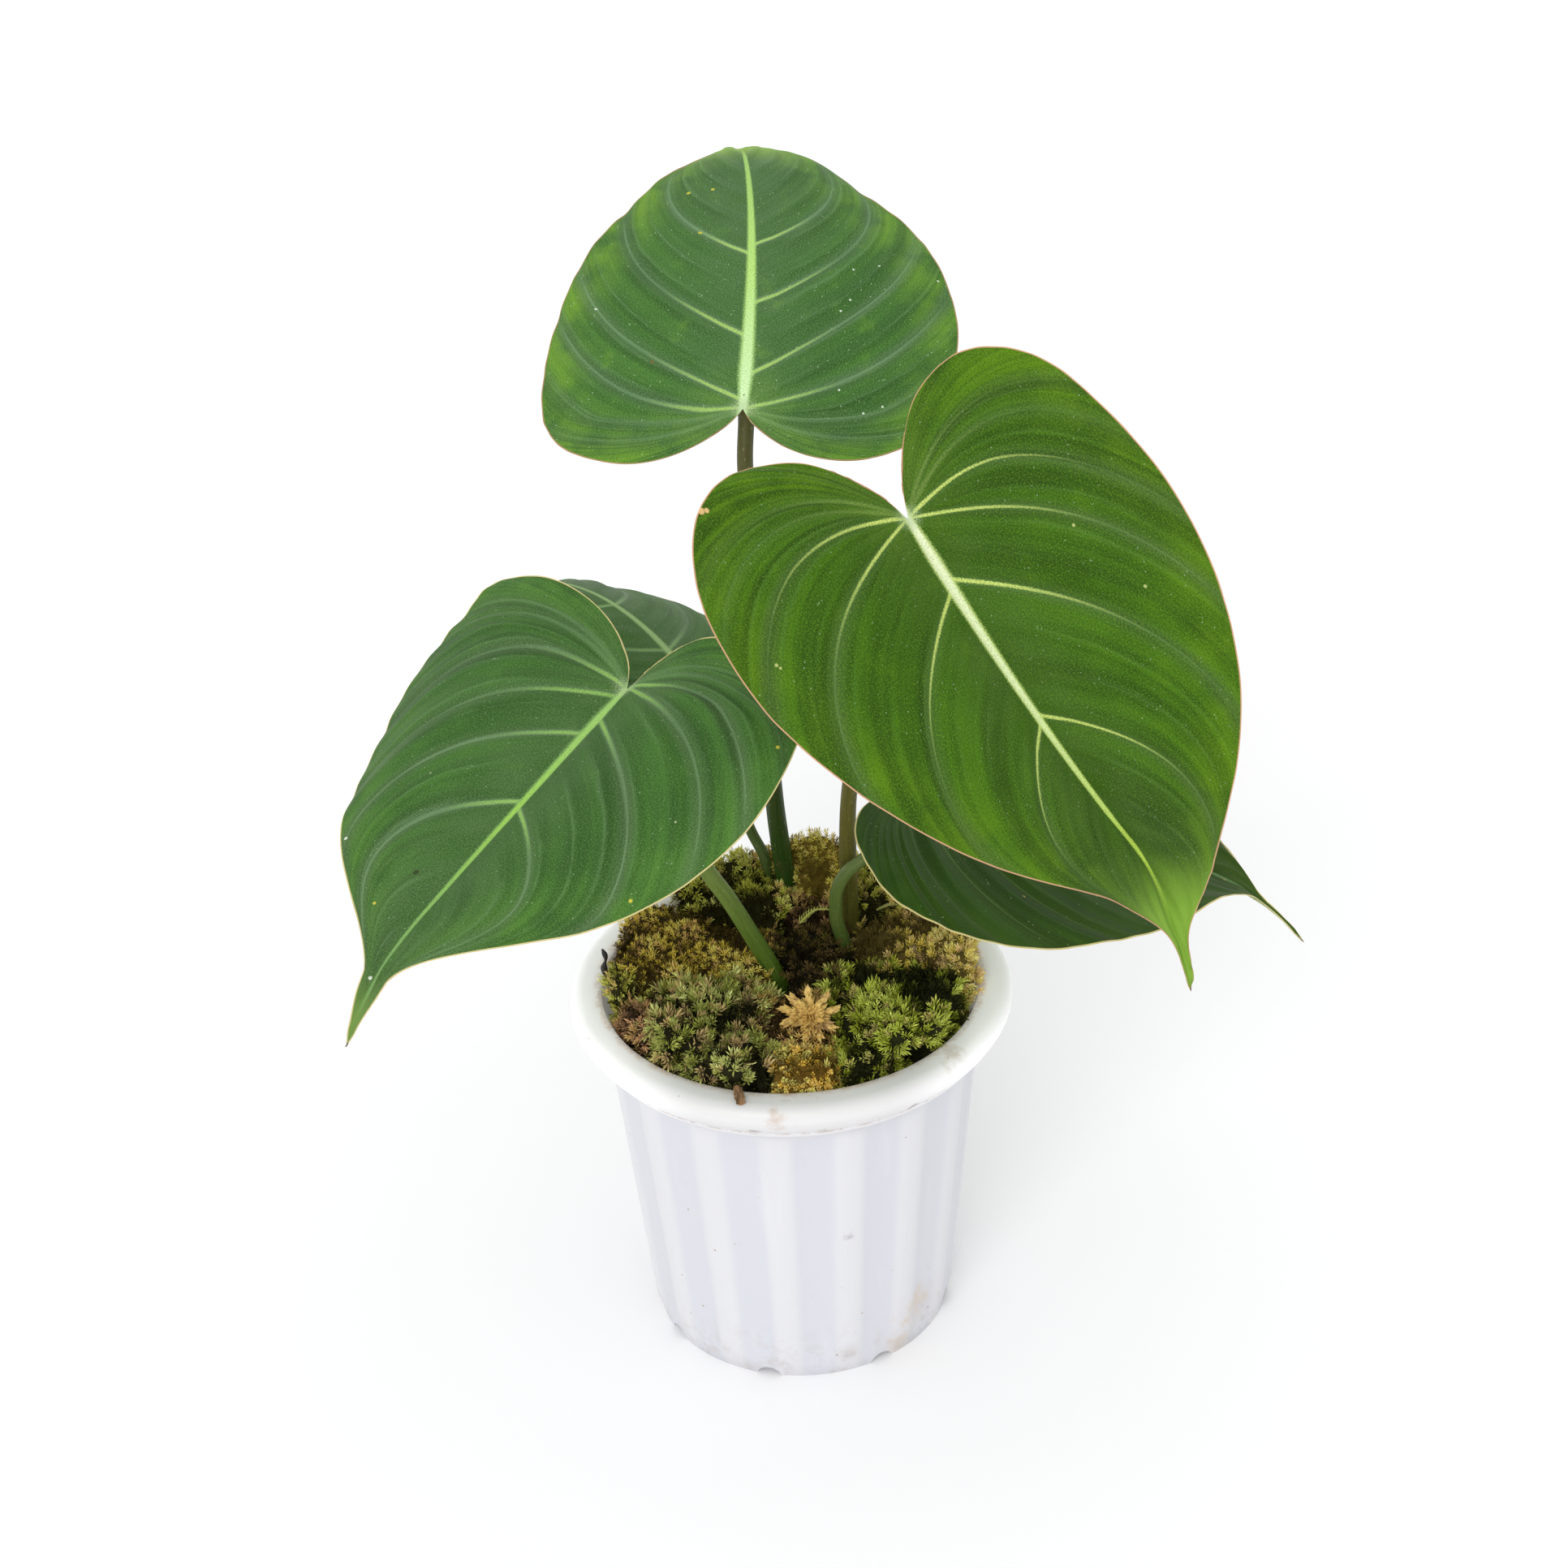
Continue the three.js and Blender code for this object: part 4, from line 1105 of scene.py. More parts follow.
    @staticmethod
    def _pins(
        count: int, radius: float, place: tuple[float, float], first: float, turn: Point = (0, 0, 0)
    ) -> Piece:
        """Return a ring of pins, with which the pot is cut.

        Args:
            count: Number of pins.
            radius: Radius of a pin.
            place: Radius of the ring and its height.
            first: Direction of the first pin, in radians.
            turn: Turn of a pin that stands in direction 0.

        Returns:
            The pins as one object.
        """
        pins = []
        for azimuth in first + np.arange(count) * FULL_TURN / count:
            rest_tools()
            bpy.ops.mesh.primitive_cylinder_add(
                vertices=32, radius=radius, depth=12 * MM, rotation=(turn[0], turn[1], turn[2] + azimuth),
                location=(place[0] * math.cos(azimuth), place[0] * math.sin(azimuth), place[1]),
            )
            pins.append(bpy.context.object)
        return settle(join(pins), "cutting_pins")


# ---- potting mix


@dataclass
class PottingMix:
    """The mix that fills the pot, lumpy on top, with a groove where the stem creeps."""

    top: float = 104 * MM
    foot: float = 4.9 * MM
    clearance: float = 0.45 * MM
    lump: float = 2.6 * MM
    columns: int = 96
    groove_half_width: float = 7.6 * MM
    groove_depth: float = 15 * MM
    finish: MixFinish = field(default_factory=MixFinish)

    def build(self, pot: PotShell, stem_route: Sequence[Point]) -> Piece:
        """Turn the mix inside the pot, press the groove and roughen its top.

        Args:
            pot: The pot that holds it.
            stem_route: Route of the creeping stem, in millimetres.

        Returns:
            The mix.
        """
        inset = pot.wall + self.clearance
        radius = pot.wall_radius(pot.neck_height) - inset
        profile = [
            (pot.wall_radius(self.foot) - inset, self.foot),
            (radius, pot.neck_height),
            (radius, self.top - 1 * MM),
            *[(share * (radius - 1 * MM), self.top) for share in np.linspace(1, 0.03, 30)],
        ]
        mix = turned("crumbly_potting_mix", profile, self.columns)
        points = points_of(mix)
        on_top = points[:, 2] > self.top - 0.2 * MM
        route = route_points(stem_route, 60)[:, :2]
        nearest = np.min(np.linalg.norm(points[:, None, :2] - route[None], axis=2), axis=1)
        sunk = self.groove_depth * ease((self.groove_half_width + 1 * MM - nearest) / (3.5 * MM))
        points[on_top, 2] -= sunk[on_top]
        move_points(mix, points)
        group = mix.vertex_groups.new(name="top")
        group.add(np.nonzero(on_top)[0].tolist(), 1.0, "REPLACE")
        texture = bpy.data.textures.new("crumbs", "CLOUDS")
        texture.noise_scale = 4 * MM
        texture.noise_depth = 2
        finish_modifier(
            mix, "DISPLACE", texture=texture, strength=-self.lump, mid_level=0.0, vertex_group=group.name
        )
        bpy.data.textures.remove(texture)
        smooth_by_angle(mix, 60)
        dress(mix, self.finish.material())
        return mix


# ---- stalks


@dataclass
class Stalk:
    """A round stalk bent along a route: a cylinder cut into rings, shaped, and laid on a curve."""

    name: str
    route: Sequence[Point]
    radii: Sequence[float]
    sides: int = 20
    steps: int = 72
    shape: Callable[[Array], Array] | None = None
    groove: float = 0.0

    @property
    def length(self) -> float:
        """Length of the route in metres."""
        points = route_points(self.route, 200)
        return float(np.linalg.norm(np.diff(points, axis=0), axis=1).sum())

    def build(self) -> Piece:
        """Make the stalk and keep its straight place for the finish.

        Returns:
            The stalk.
        """
        length = self.length
        rest_tools()
        bpy.ops.mesh.primitive_cylinder_add(
            vertices=self.sides, radius=1 * MM, depth=length, end_fill_type="TRIFAN",
            location=(0, 0, length / 2),
        )
        stalk = settle(bpy.context.object, self.name)
        ends = read(stalk.data.edges, "vertices", 2, int)
        with editing(stalk, np.abs(np.diff(points_of(stalk)[ends, 2], axis=1))[:, 0] > 1e-5, "EDGE"):
            bpy.ops.mesh.subdivide(number_cuts=self.steps - 1)
        points = points_of(stalk)
        share = np.clip(points[:, 2] / length, 0, 1)
        radii = np.interp(share, np.linspace(0, 1, len(self.radii)), self.radii)
        if self.shape is not None:
            radii = radii + self.shape(share)
        turn = np.arctan2(points[:, 1], points[:, 0])
        uneven = 1 + 0.018 * np.sin(3 * turn + 9 * share) + 0.015 * np.sin(23 * share + 2 * turn)
        hollow = 1 - self.groove * np.exp(-((np.cos((turn - math.pi / 2) / 2)) ** 2 - 1) ** 2 / 0.02)
        points[:, :2] *= (radii / MM * uneven * hollow)[:, None]
        move_points(stalk, points)
        store(stalk, "straight", points)
        self._bend(stalk)
        merge_and_face_out(stalk)
        smooth_by_angle(stalk, 50)
        return stalk

    def _bend(self, stalk: Piece) -> None:
        """Lay the straight stalk along its route.

        Args:
            stalk: The stalk, which stands upright from the origin.
        """
        places = route_points(self.route, 4 * self.steps)
        curve = bpy.data.curves.new(f"{self.name}_route", "CURVE")
        curve.dimensions = "3D"
        curve.twist_mode = "MINIMUM"
        line = curve.splines.new("POLY")
        line.points.add(len(places) - 1)
        line.points.foreach_set("co", np.c_[places, np.ones(len(places))].ravel())
        guide = bpy.data.objects.new(curve.name, curve)
        bpy.context.scene.collection.objects.link(guide)
        finish_modifier(stalk, "CURVE", object=guide, deform_axis="POS_Z")
        bpy.data.objects.remove(guide)


@dataclass
class CreepingStem:
    """The ringed stem that creeps over the mix under the moss."""

    route: tuple[Point, ...] = (
        (-5, -7, 96), (7, 0, 97), (15, 10, 97), (12, 26, 97), (2, 38, 97), (-6, 44, 97),
    )
    radius: float = 5.6 * MM
    node_height: float = 0.7 * MM
    nodes: int = 7
    finish: StemFinish = field(default_factory=StemFinish)

    def build(self) -> Piece:
        """Make the stem.

        Returns:
            The stem.
        """
        stalk = Stalk("ringed_creeping_stem", self.route, [self.radius], 28, 120, self._rings)
        stem = stalk.build()
        dress(stem, self.finish.material(stalk.length, self.nodes))
        return stem

    def _rings(self, share: Array) -> Array:
        """Return what is added to the radius for a raised ring at each node and blunt ends.

        Args:
            share: Share of the stem's length.

        Returns:
            The change in metres.
        """
        swell = np.maximum(0, np.cos(share * self.nodes * FULL_TURN)) ** 3 * self.node_height
        ends = np.sqrt(np.clip(np.minimum(share, 1 - share) / 0.08, 0, 1))
        return (self.radius - self.node_height + swell) * (0.5 + 0.5 * ends) - self.radius


# ---- leaves


@dataclass(frozen=True)
class LeafShape:
    """Sizes of one leaf: lengths in millimetres, turns in degrees, the rest as shares."""

    name: str
    sinus: Point
    heading: float
    pitch: float
    roll: float
    length: float
    width: float
    lobe: float
    bend: float
    tip_bend: float
    lobe_droop: float
    fold: float
    tip_fold: float
    curl: float
    sweep: float
    droop: float
    taper: float
    taper_skew: float
    fullness: float
    route: tuple[Point, ...]
    stalk: tuple[float, float, float]
    seed: float
    finish: LeafFinish
    skin: StalkFinish
    veins_left: tuple[float, ...] = (0.43, 0.488, 0.548, 0.607, 0.687, 0.79)
    veins_right: tuple[float, ...] = (0.43, 0.488, 0.548, 0.607, 0.687, 0.79)
    drip: tuple[tuple[float, float], ...] = ((0, 1), (1, 1))


class VeinPlan:
    """The heart-shaped half outline of a blade and the family of curved veins that fill it.

    A vein has a share from 0 at the sinus, round the margin, to 1 at the tip. A point on it has a
    reach from 0 on the midrib to 1 at the margin. Places are shares of the length, along the
    midrib and across it.
    """

    OUTLINE = (
        (0, 0), (-0.045, 0.022), (-0.12, 0.068), (-0.185, 0.14), (-0.215, 0.225), (-0.205, 0.31),
        (-0.155, 0.39), (-0.07, 0.445), (0.04, 0.475), (0.17, 0.475), (0.31, 0.435), (0.45, 0.365),
        (0.58, 0.28), (0.7, 0.19), (0.8, 0.115), (0.88, 0.058), (0.94, 0.024), (1, 0),
    )
    FAN = 0.61
    START_POWER = 1.3
    ARCH = (
        (0, 10), (0.059, 10), (0.118, 10), (0.176, 11), (0.235, 16), (0.294, 22.5), (0.353, 30),
        (0.412, 37.5), (0.47, 43), (0.5, 43.5), (0.55, 39), (0.61, 19.5), (0.66, 20.5), (0.693, 23),
        (0.75, 33), (0.8, 37), (0.86, 31), (0.9, 22), (0.94, 12), (1, 5),
    )
    SWEEP = ((0, 1.4), (0.488, 1.4), (0.55, 1.2), (0.61, 2.4), (0.693, 2.3), (0.8, 1.9), (1, 1.6))
    SOFTNESS = 0.03

    def __init__(self) -> None:
        """Sample the outline's uniform Catmull-Rom curve."""
        knots = np.array(self.OUTLINE, dtype=float)
        knots = np.vstack([2 * knots[0] - knots[1], knots, 2 * knots[-1] - knots[-2]])
        t = np.linspace(0, 1, 16, endpoint=False)[:, None]
        spans = [
            0.5 * (2 * b + (c - a) * t + (2 * a - 5 * b + 4 * c - d) * t**2 + (3 * b - a - 3 * c + d) * t**3)
            for a, b, c, d in zip(knots, knots[1:], knots[2:], knots[3:])
        ]
        self.outline = np.vstack([*spans, knots[-2]])
        self.widest_back = int(self.outline[:, 0].argmin())

    def margin(self, share: Array) -> tuple[Array, Array]:
        """Return the margin's place at each share."""
        places = np.linspace(0, 1, len(self.outline))
        return np.interp(share, places, self.outline[:, 0]), np.interp(share, places, self.outline[:, 1])

    def half_width(self, along: Array) -> Array:
        """Return the half width in front of the lobes' backs."""
        front = self.outline[self.widest_back:]
        return np.interp(np.maximum(along, front[0, 0]), front[:, 0], front[:, 1])

    def _soft(self, share: Array, knots: Sequence[tuple[float, float]]) -> Array:
        """Read knots at each share, with their corners softened.

        Args:
            share: Shares from 0 to 1.
            knots: Rows of share and value.

        Returns:
            The values.
        """
        places, values = np.array(knots, dtype=float).T
        offsets = np.linspace(-1, 1, 21)
        weights = 1 - offsets**2
        reads = [np.interp(share + self.SOFTNESS * offset, places, values) for offset in offsets]
        return np.tensordot(weights / weights.sum(), np.array(reads), axes=1)

    def flat(self, share: Array, reach: Array) -> tuple[Array, Array]:
        """Find the flat place of points on the veins.

        Args:
            share: Share of each point's vein.
            reach: Reach of the point on it.

        Returns:
            The place along the midrib and across it.
        """
        margin_along, margin_across = self.margin(share)
        start = np.clip((share - self.FAN) / (1 - self.FAN), 0, 1) ** self.START_POWER
        distance = np.hypot(margin_along - start, margin_across)
        azimuth = np.arctan2(margin_across, margin_along - start)
        arch = np.radians(self._soft(share, self.ARCH))
        power = self._soft(share, self.SWEEP)
        turn = azimuth + arch * (1 - reach**power)
        return start + distance * reach * np.cos(turn), distance * reach * np.sin(turn)


@dataclass(frozen=True)
class VeinGrid:
    """The points of one half blade, in rows along its veins, with the distances that follow them."""

    side: int
    veins: Array
    share: Array
    reach: Array
    along: Array
    across: Array
    spacing: Array
    edge: Array


@dataclass
class Blade:
    """One heart-shaped blade: two grids that follow its veins, joined on the midrib and given a thickness."""

    shape: LeafShape
    plan: VeinPlan
    thickness: float = 0.62 * MM
    stations: int = 176
    rows: int = 36
    first_share: float = 0.1
    half_width: float = 0.475
    lobe_reach: float = 0.22
    shoulder: float = 0.3
    swell_place: float = 0.7
    swell_spread: float = 0.15
    tip_taper: float = 0.12
    tip_bend_start: float = 0.55
    droop_start: float = 0.72
    valley: float = 0.75 * MM
    valley_width: float = 1.5 * MM
    quilt: float = 0.5 * MM
    wave: float = 0.9 * MM
    rib_groove: float = 0.25 * MM
    rib_ridge: float = 1.3 * MM
    vein_ridge: float = 0.45 * MM
    strong_veins: tuple[float, float] = (0.53, 0.85)
    streaks: float = 34
    streak_length: float = 0.7
    rim_share: float = 0.3

    @property
    def size(self) -> float:
        """Length from the sinus to the tip in metres."""
        return self.shape.length * MM

    def place(self, share: Array, across: Array) -> Array:
        """Return the place in space of flat points.

        Args:
            share: Share of the length along the midrib; negative behind the sinus.
            across: Signed distance across the midrib in metres, positive to the leaf's left.

        Returns:
            Rows of x, y and z in metres.
        """
        leaf, size = self.shape, self.size
        side, forward = np.sign(across), np.clip(share, 0, 1)
        fold = np.radians(leaf.fold + leaf.tip_fold * forward)
        turn = math.radians(leaf.curl) / (self.half_width * size * leaf.width)
        edge = fold - turn * np.abs(across)
        width = (np.sin(fold) - np.sin(edge)) / turn
        lift = (np.cos(edge) - np.cos(fold)) / turn
        table = np.linspace(-0.45, 1.0, 581)
        slopes, slope = self._slope(table), self._slope(share)
        steps = np.stack([np.cos(slopes), np.sin(slopes)])
        steps = (steps[:, 1:] + steps[:, :-1]) / 2 * (table[1] - table[0])
        line = np.concatenate([np.zeros((2, 1)), np.cumsum(steps, axis=1)], axis=1)
        reach, rise = line - line[:, [int(np.argmin(np.abs(table)))]]
        local = np.stack([
            np.interp(share, table, reach) * size - np.sin(slope) * lift,
            side * width + leaf.sweep * size * forward**2,
            np.interp(share, table, rise) * size + np.cos(slope) * lift,
        ], axis=-1)
        turned_by = (
            Matrix.Rotation(math.radians(leaf.heading), 3, "Z")
            @ Matrix.Rotation(-math.radians(leaf.pitch), 3, "Y")
            @ Matrix.Rotation(math.radians(leaf.roll), 3, "X")
        )
        placed = local @ np.array(turned_by).T
        hang = np.clip((share - self.droop_start) / (1 - self.droop_start), 0, 1)
        placed[..., 2] -= leaf.droop * size * hang**2
        return placed + np.array(leaf.sinus) * MM

    def _slope(self, share: Array) -> Array:
        """Find the slope of the middle line.

        Args:
            share: Share of the length; negative behind the sinus.

        Returns:
            The slope in radians.
        """
        leaf = self.shape
        behind = leaf.lobe_droop * np.minimum(np.maximum(-share, 0) / self.lobe_reach, 2)
        bent = ease((np.clip(share, 0, 1) - self.tip_bend_start) / (1 - self.tip_bend_start))
        return np.radians(behind - leaf.bend * np.maximum(share, 0) - leaf.tip_bend * bent)

    def flat(self, share: Array, reach: Array, side: int) -> tuple[Array, Array]:
        """Find the flat place of vein points on one side.

        Args:
            share: Share of each point's vein.
            reach: Reach of the point on it.
            side: 1 on the leaf's left and -1 on its right.

        Returns:
            Share of the length, and signed distance across in metres.
        """
        leaf = self.shape
        along, across = self.plan.flat(share, reach)
        plain = self.plan.half_width(along)
        swell = np.exp(-(((along - self.swell_place) / self.swell_spread) ** 2))
        shaped = np.maximum(plain + leaf.fullness * swell, self.tip_taper * (1 - along))
        across = across * np.where(along > self.shoulder, shaped / np.maximum(plain, 1e-4), 1.0)
        narrowing = 1 - (leaf.taper + leaf.taper_skew * side) * (np.clip(along, 0, 1) - self.shoulder)
        narrowing *= np.interp(1 - along, *np.array(leaf.drip, dtype=float).T)
        across = side * across * self.size * leaf.width * narrowing
        return np.where(along < 0, along * leaf.lobe, along), across

    def build(self) -> Piece:
        """Make the blade with its two sides and a raised rib underneath.

        Returns:
            The blade.
        """
        blade = join([self._half(side) for side in (1, -1)])
        with editing(blade):
            bpy.ops.mesh.remove_doubles(threshold=0.004 * MM)
        name, finish = self.shape.name, self.shape.finish
        settle(blade, f"veined_blade_{name}")
        dress(blade, finish.upper(name, self.size), finish.under(name, self.size))
        finish_modifier(blade, "SOLIDIFY", thickness=self.thickness, offset=-1, material_offset=1)
        self._raise_rib(blade)
        smooth_by_angle(blade, 60)
        return blade

    def _half(self, side: int) -> Piece:
        """Make one half of the blade from a grid and store what its material reads.

        Args:
            side: 1 on the leaf's left and -1 on its right.

        Returns:
            The half, as an open sheet.
        """
        rest_tools()
        bpy.ops.mesh.primitive_grid_add(x_subdivisions=self.stations, y_subdivisions=self.rows, size=1)
        half = bpy.context.object
        unit_points = points_of(half)
        order = np.lexsort((unit_points[:, 1], unit_points[:, 0]))
        size = (self.stations + 1, self.rows + 1)
        share = self.first_share + (1 - self.first_share) * (unit_points[order, 0].reshape(size) + 0.5)
        reach = unit_points[order, 1].reshape(size) + 0.5
        along, across = self.flat(share, reach, side)
        base = self.place(along, across)
        veins = np.array(self.shape.veins_left if side > 0 else self.shape.veins_right)
        grid = VeinGrid(side, veins, share, reach, along, across, *self._distances(base, share, reach))
        placed = np.empty_like(unit_points)
        placed[order] = (base + self.normals(along, across) * self._relief(grid)[..., None]).reshape(-1, 3)
        move_points(half, placed)
        self._store_places(half, order, grid)
        if side < 0:
            half.data.flip_normals()
        return half

    @staticmethod
    def _distances(base: Array, share: Array, reach: Array) -> tuple[Array, Array]:
        """Measure the grid.

        Args:
            base: Place of each point in space.
            share: Share of its vein.
            reach: Its reach on the vein.

        Returns:
            The distance between veins for a unit of share, and the distance to the margin.
        """
        by_share = np.gradient(base, axis=0) / np.gradient(share, axis=0)[..., None]
        by_reach = np.gradient(base, axis=1) / np.gradient(reach, axis=1)[..., None]
        area = np.linalg.norm(np.cross(by_share, by_reach), axis=-1)
        rim = np.vstack([base[0, :-1], base[:, -1]])
        edge = np.full(base.shape[:2], np.inf)
        for start, step in zip(rim, np.diff(rim, axis=0)):
            along = np.clip((base - start) @ step / max(step @ step, 1e-12), 0, 1)
            edge = np.minimum(edge, np.linalg.norm(base - start - along[..., None] * step, axis=-1))
        return area / np.maximum(np.linalg.norm(by_reach, axis=-1), 1e-6), edge

    def normals(self, along: Array, across: Array) -> Array:
        """Find the upward normals of the smooth blade.

        Args:
            along: Share of the length.
            across: Distance across the midrib in metres.

        Returns:
            One normal for each place.
        """
        nudge, step = 0.004, 0.6 * MM
        forward = self.place(along + nudge, across) - self.place(along - nudge, across)
        leftward = self.place(along, across + step) - self.place(along, across - step)
        return unit(np.cross(forward, leftward))

    def _relief(self, grid: VeinGrid) -> Array:
        """Find the height of each point over the smooth blade: valleys, quilting and a wavy margin.

        Args:
            grid: The points.

        Returns:
            The heights in metres.
        """
        share, reach, spacing = grid.share, grid.reach, grid.spacing
        gaps = (share[..., None] - grid.veins) * spacing[..., None]
        valley = hill(gaps, self.valley_width).sum(-1) + 0.45 * hill(gaps, 3 * self.valley_width).sum(-1)
        room = ease(spacing / (60 * MM))
        inner = ease(reach / 0.16) * (1 - 0.55 * ease((reach - 0.5) / 0.5)) * room
        lines = np.cos(share * FULL_TURN * FINE_VEINS) * ease((spacing / FINE_VEINS - 0.8 * MM) / (2.5 * MM))
        seed = self.shape.seed + grid.side
        puff = np.sin(share * 63 + seed) * np.sin(reach * 5 + seed)
        slow = np.sin(share * 19 + 2.1 * seed) + 0.6 * np.sin(share * 41 + 3.7 * seed)
        return (
            -self.valley * inner * np.minimum(valley, 1.5)
            + self.quilt * inner * (0.55 * lines + 0.6 * puff)
            + self.wave * room * ease(share / 0.2) * reach**3 * slow
            - self.rib_groove * hill(grid.across, 2.4 * MM)
        )

    def _store_places(self, half: Piece, order: Array, grid: VeinGrid) -> None:
        """Store flat places and distances on the face corners; each face keeps to its own nearest vein.

        Args:
            half: The half blade.
            order: Number of the vertex at each point of the grid.
            grid: The points.
        """
        corners = read(half.data.loops, "vertex_index", kind=int)
        totals = read(half.data.polygons, "loop_total", kind=int)
        point = np.argsort(order)[corners]
        along, across, share, reach, spacing, edge = (
            values.ravel()[point]
            for values in (grid.along, grid.across, grid.share, grid.reach, grid.spacing, grid.edge)
        )
        face = np.repeat(np.arange(len(totals)), totals)
        middle = np.bincount(face, weights=share) / totals
        vein = grid.veins[np.abs(middle[:, None] - grid.veins[None]).argmin(axis=1)[face]]
        first, last = self.strong_veins
        layer = 7.0 * grid.side + 5 * self.shape.seed
        stored = {
            "flat": np.stack([along * self.size, across, 0 * along], axis=1),
            "streak": np.stack([share * self.streaks, reach * self.streak_length, 0 * share + layer], axis=1),
            "vein_share": share,
            "vein_reach": reach,
            "vein_gap": (share - vein) * spacing,
            "vein_strength": np.where((vein < first) | (vein > last), 0.35, 1.0),
            "edge_gap": edge,
        }
        for name, values in stored.items():
            store(half, name, values, "CORNER")

    def _raise_rib(self, blade: Piece) -> None:
        """Raise the midrib and the start of the veins on the underside, and thin the rim.

        Args:
            blade: The blade with its thickness, of which the underside is the second half of the points.
        """
        mesh = blade.data
        corners = read(mesh.loops, "vertex_index", kind=int)
        totals = read(mesh.polygons, "loop_total", kind=int)
        below = np.repeat(read(mesh.polygons, "material_index", kind=int), totals) == 1
        flats = read(mesh.attributes["flat"].data, "vector", 3)
        gaps, reaches, edges = (
            read(mesh.attributes[name].data, "value") for name in ("vein_gap", "vein_reach", "edge_gap")
        )
        count = np.bincount(corners, minlength=len(mesh.vertices))
        below, ahead, across, gaps, reaches, edges = (
            np.bincount(corners, weights=values, minlength=len(count)) / np.maximum(count, 1)
            for values in (below, flats[:, 0], np.abs(flats[:, 1]), np.abs(gaps), reaches, edges)
        )
        along = np.clip(ahead / self.size, 0, 1)
        rib = hill(across, 1.9 * MM) * (1 - along) ** 0.8
        veins = hill(gaps, 0.9 * MM) * (1 - reaches) ** 1.2
        inside = ease(edges / (3 * MM)) * ease(ahead / (5 * MM))
        lift = (self.rib_ridge * rib + self.vein_ridge * veins) * (below == 1) * inside
        points = points_of(blade) + read(mesh.vertices, "normal", 3) * lift[:, None]
        half = len(points) // 2
        keep = (self.rim_share + (1 - self.rim_share) * ease(edges[half:] / (2.5 * MM)))[:, None]
        points[half:] = points[:half] + (points[half:] - points[:half]) * keep
        move_points(blade, points)


@dataclass
class Petiole:
    """The stalk of one leaf, from the creeping stem to the underside of its blade."""

    blade: Blade
    neck: float = 5.0
    attach_share: float = 0.015

    def build(self) -> Piece:
        """Make the petiole.

        Returns:
            The petiole.
        """
        leaf = self.blade.shape
        share, zero = np.array([self.attach_share]), np.array([0.0])
        upward = self.blade.normals(share, zero)[0]
        end = (self.blade.place(share, zero)[0] - upward * 0.35 * MM) / MM
        route = [*leaf.route, tuple(end - upward * self.neck), tuple(end)]
        radii = [radius * MM for radius in leaf.stalk]
        stalk = Stalk(f"petiole_stalk_{leaf.name}", route, radii, 22, 84, self._swell, groove=0.06)
        petiole = stalk.build()
        dress(petiole, leaf.skin.material(f"petiole_{leaf.name}", stalk.length))
        return petiole

    @staticmethod
    def _swell(along: Array) -> Array:
        """Return what the radius gains at the foot and under the blade, in metres."""
        return 0.3 * MM * hill(along, 0.07) + 0.28 * MM * hill(along - 0.985, 0.02)


# ---- moss


class Habit(Enum):
    """How the shoots of a moss grow."""

    BRUSH = "brush"
    TUFT = "tuft"
    FEATHER = "feather"
    ROSETTE = "rosette"
    BUD = "bud"
    STRAND = "strand"


@dataclass(frozen=True)
class Sprout:
    """Mesh of one shoot that is copied over a cushion: points, triangles and distance to the tip."""

    points: Array
    triangles: Array
    tips: Array

    @staticmethod
    def taken(piece: Piece, tips: Array | float | None = None) -> "Sprout":
        """Take the mesh of a modelled piece, which is removed.

        Args:
            piece: The piece.
            tips: Distance to the tip of each point; left out, it follows the height.

        Returns:
            The mesh.
        """
        points = points_of(piece)
        triangles = np.array([face.vertices[:] for face in piece.data.polygons])
        bpy.data.objects.remove(piece)
        if tips is None:
            tips = np.clip(points[:, 2], 0, 1)
        return Sprout(points, triangles, np.broadcast_to(tips, len(points)))

    @staticmethod
    def gather(parts: Sequence["Sprout"]) -> "Sprout":
        """Join several sprouts in one.

        Args:
            parts: The sprouts.

        Returns:
            The joined sprout.
        """
        firsts = np.cumsum([0] + [len(part.points) for part in parts])
        points = np.vstack([part.points for part in parts])
        triangles = np.vstack([part.triangles + first for part, first in zip(parts, firsts)])
        return Sprout(points, triangles, np.concatenate([part.tips for part in parts]))

    def placed(self, turn: Matrix, scale: Point, at: Point, tips: tuple[float, float]) -> "Sprout":
        """Return a copy that is scaled, turned and moved, with its tip values between two bounds."""
        points = (self.points * np.array(scale)) @ np.array(turn).T + np.array(at)
        return Sprout(points, self.triangles, tips[0] + (tips[1] - tips[0]) * self.tips)

    def shown(self, name: str, tint: Array, material: Material) -> Piece:
        """Make a mesh object.

        Args:
            name: Name of the object.
            tint: Tone of each point, from 0 to 1.
            material: Material that reads the tips and the tint.

        Returns:
            The object.
        """
        mesh = bpy.data.meshes.new(name)
        mesh.from_pydata(self.points.tolist(), [], self.triangles.tolist())
        piece = bpy.data.objects.new(name, mesh)
        bpy.context.scene.collection.objects.link(piece)
        store(piece, "tip", self.tips)
        store(piece, "tint", tint)
        dress(piece, material)
        return piece


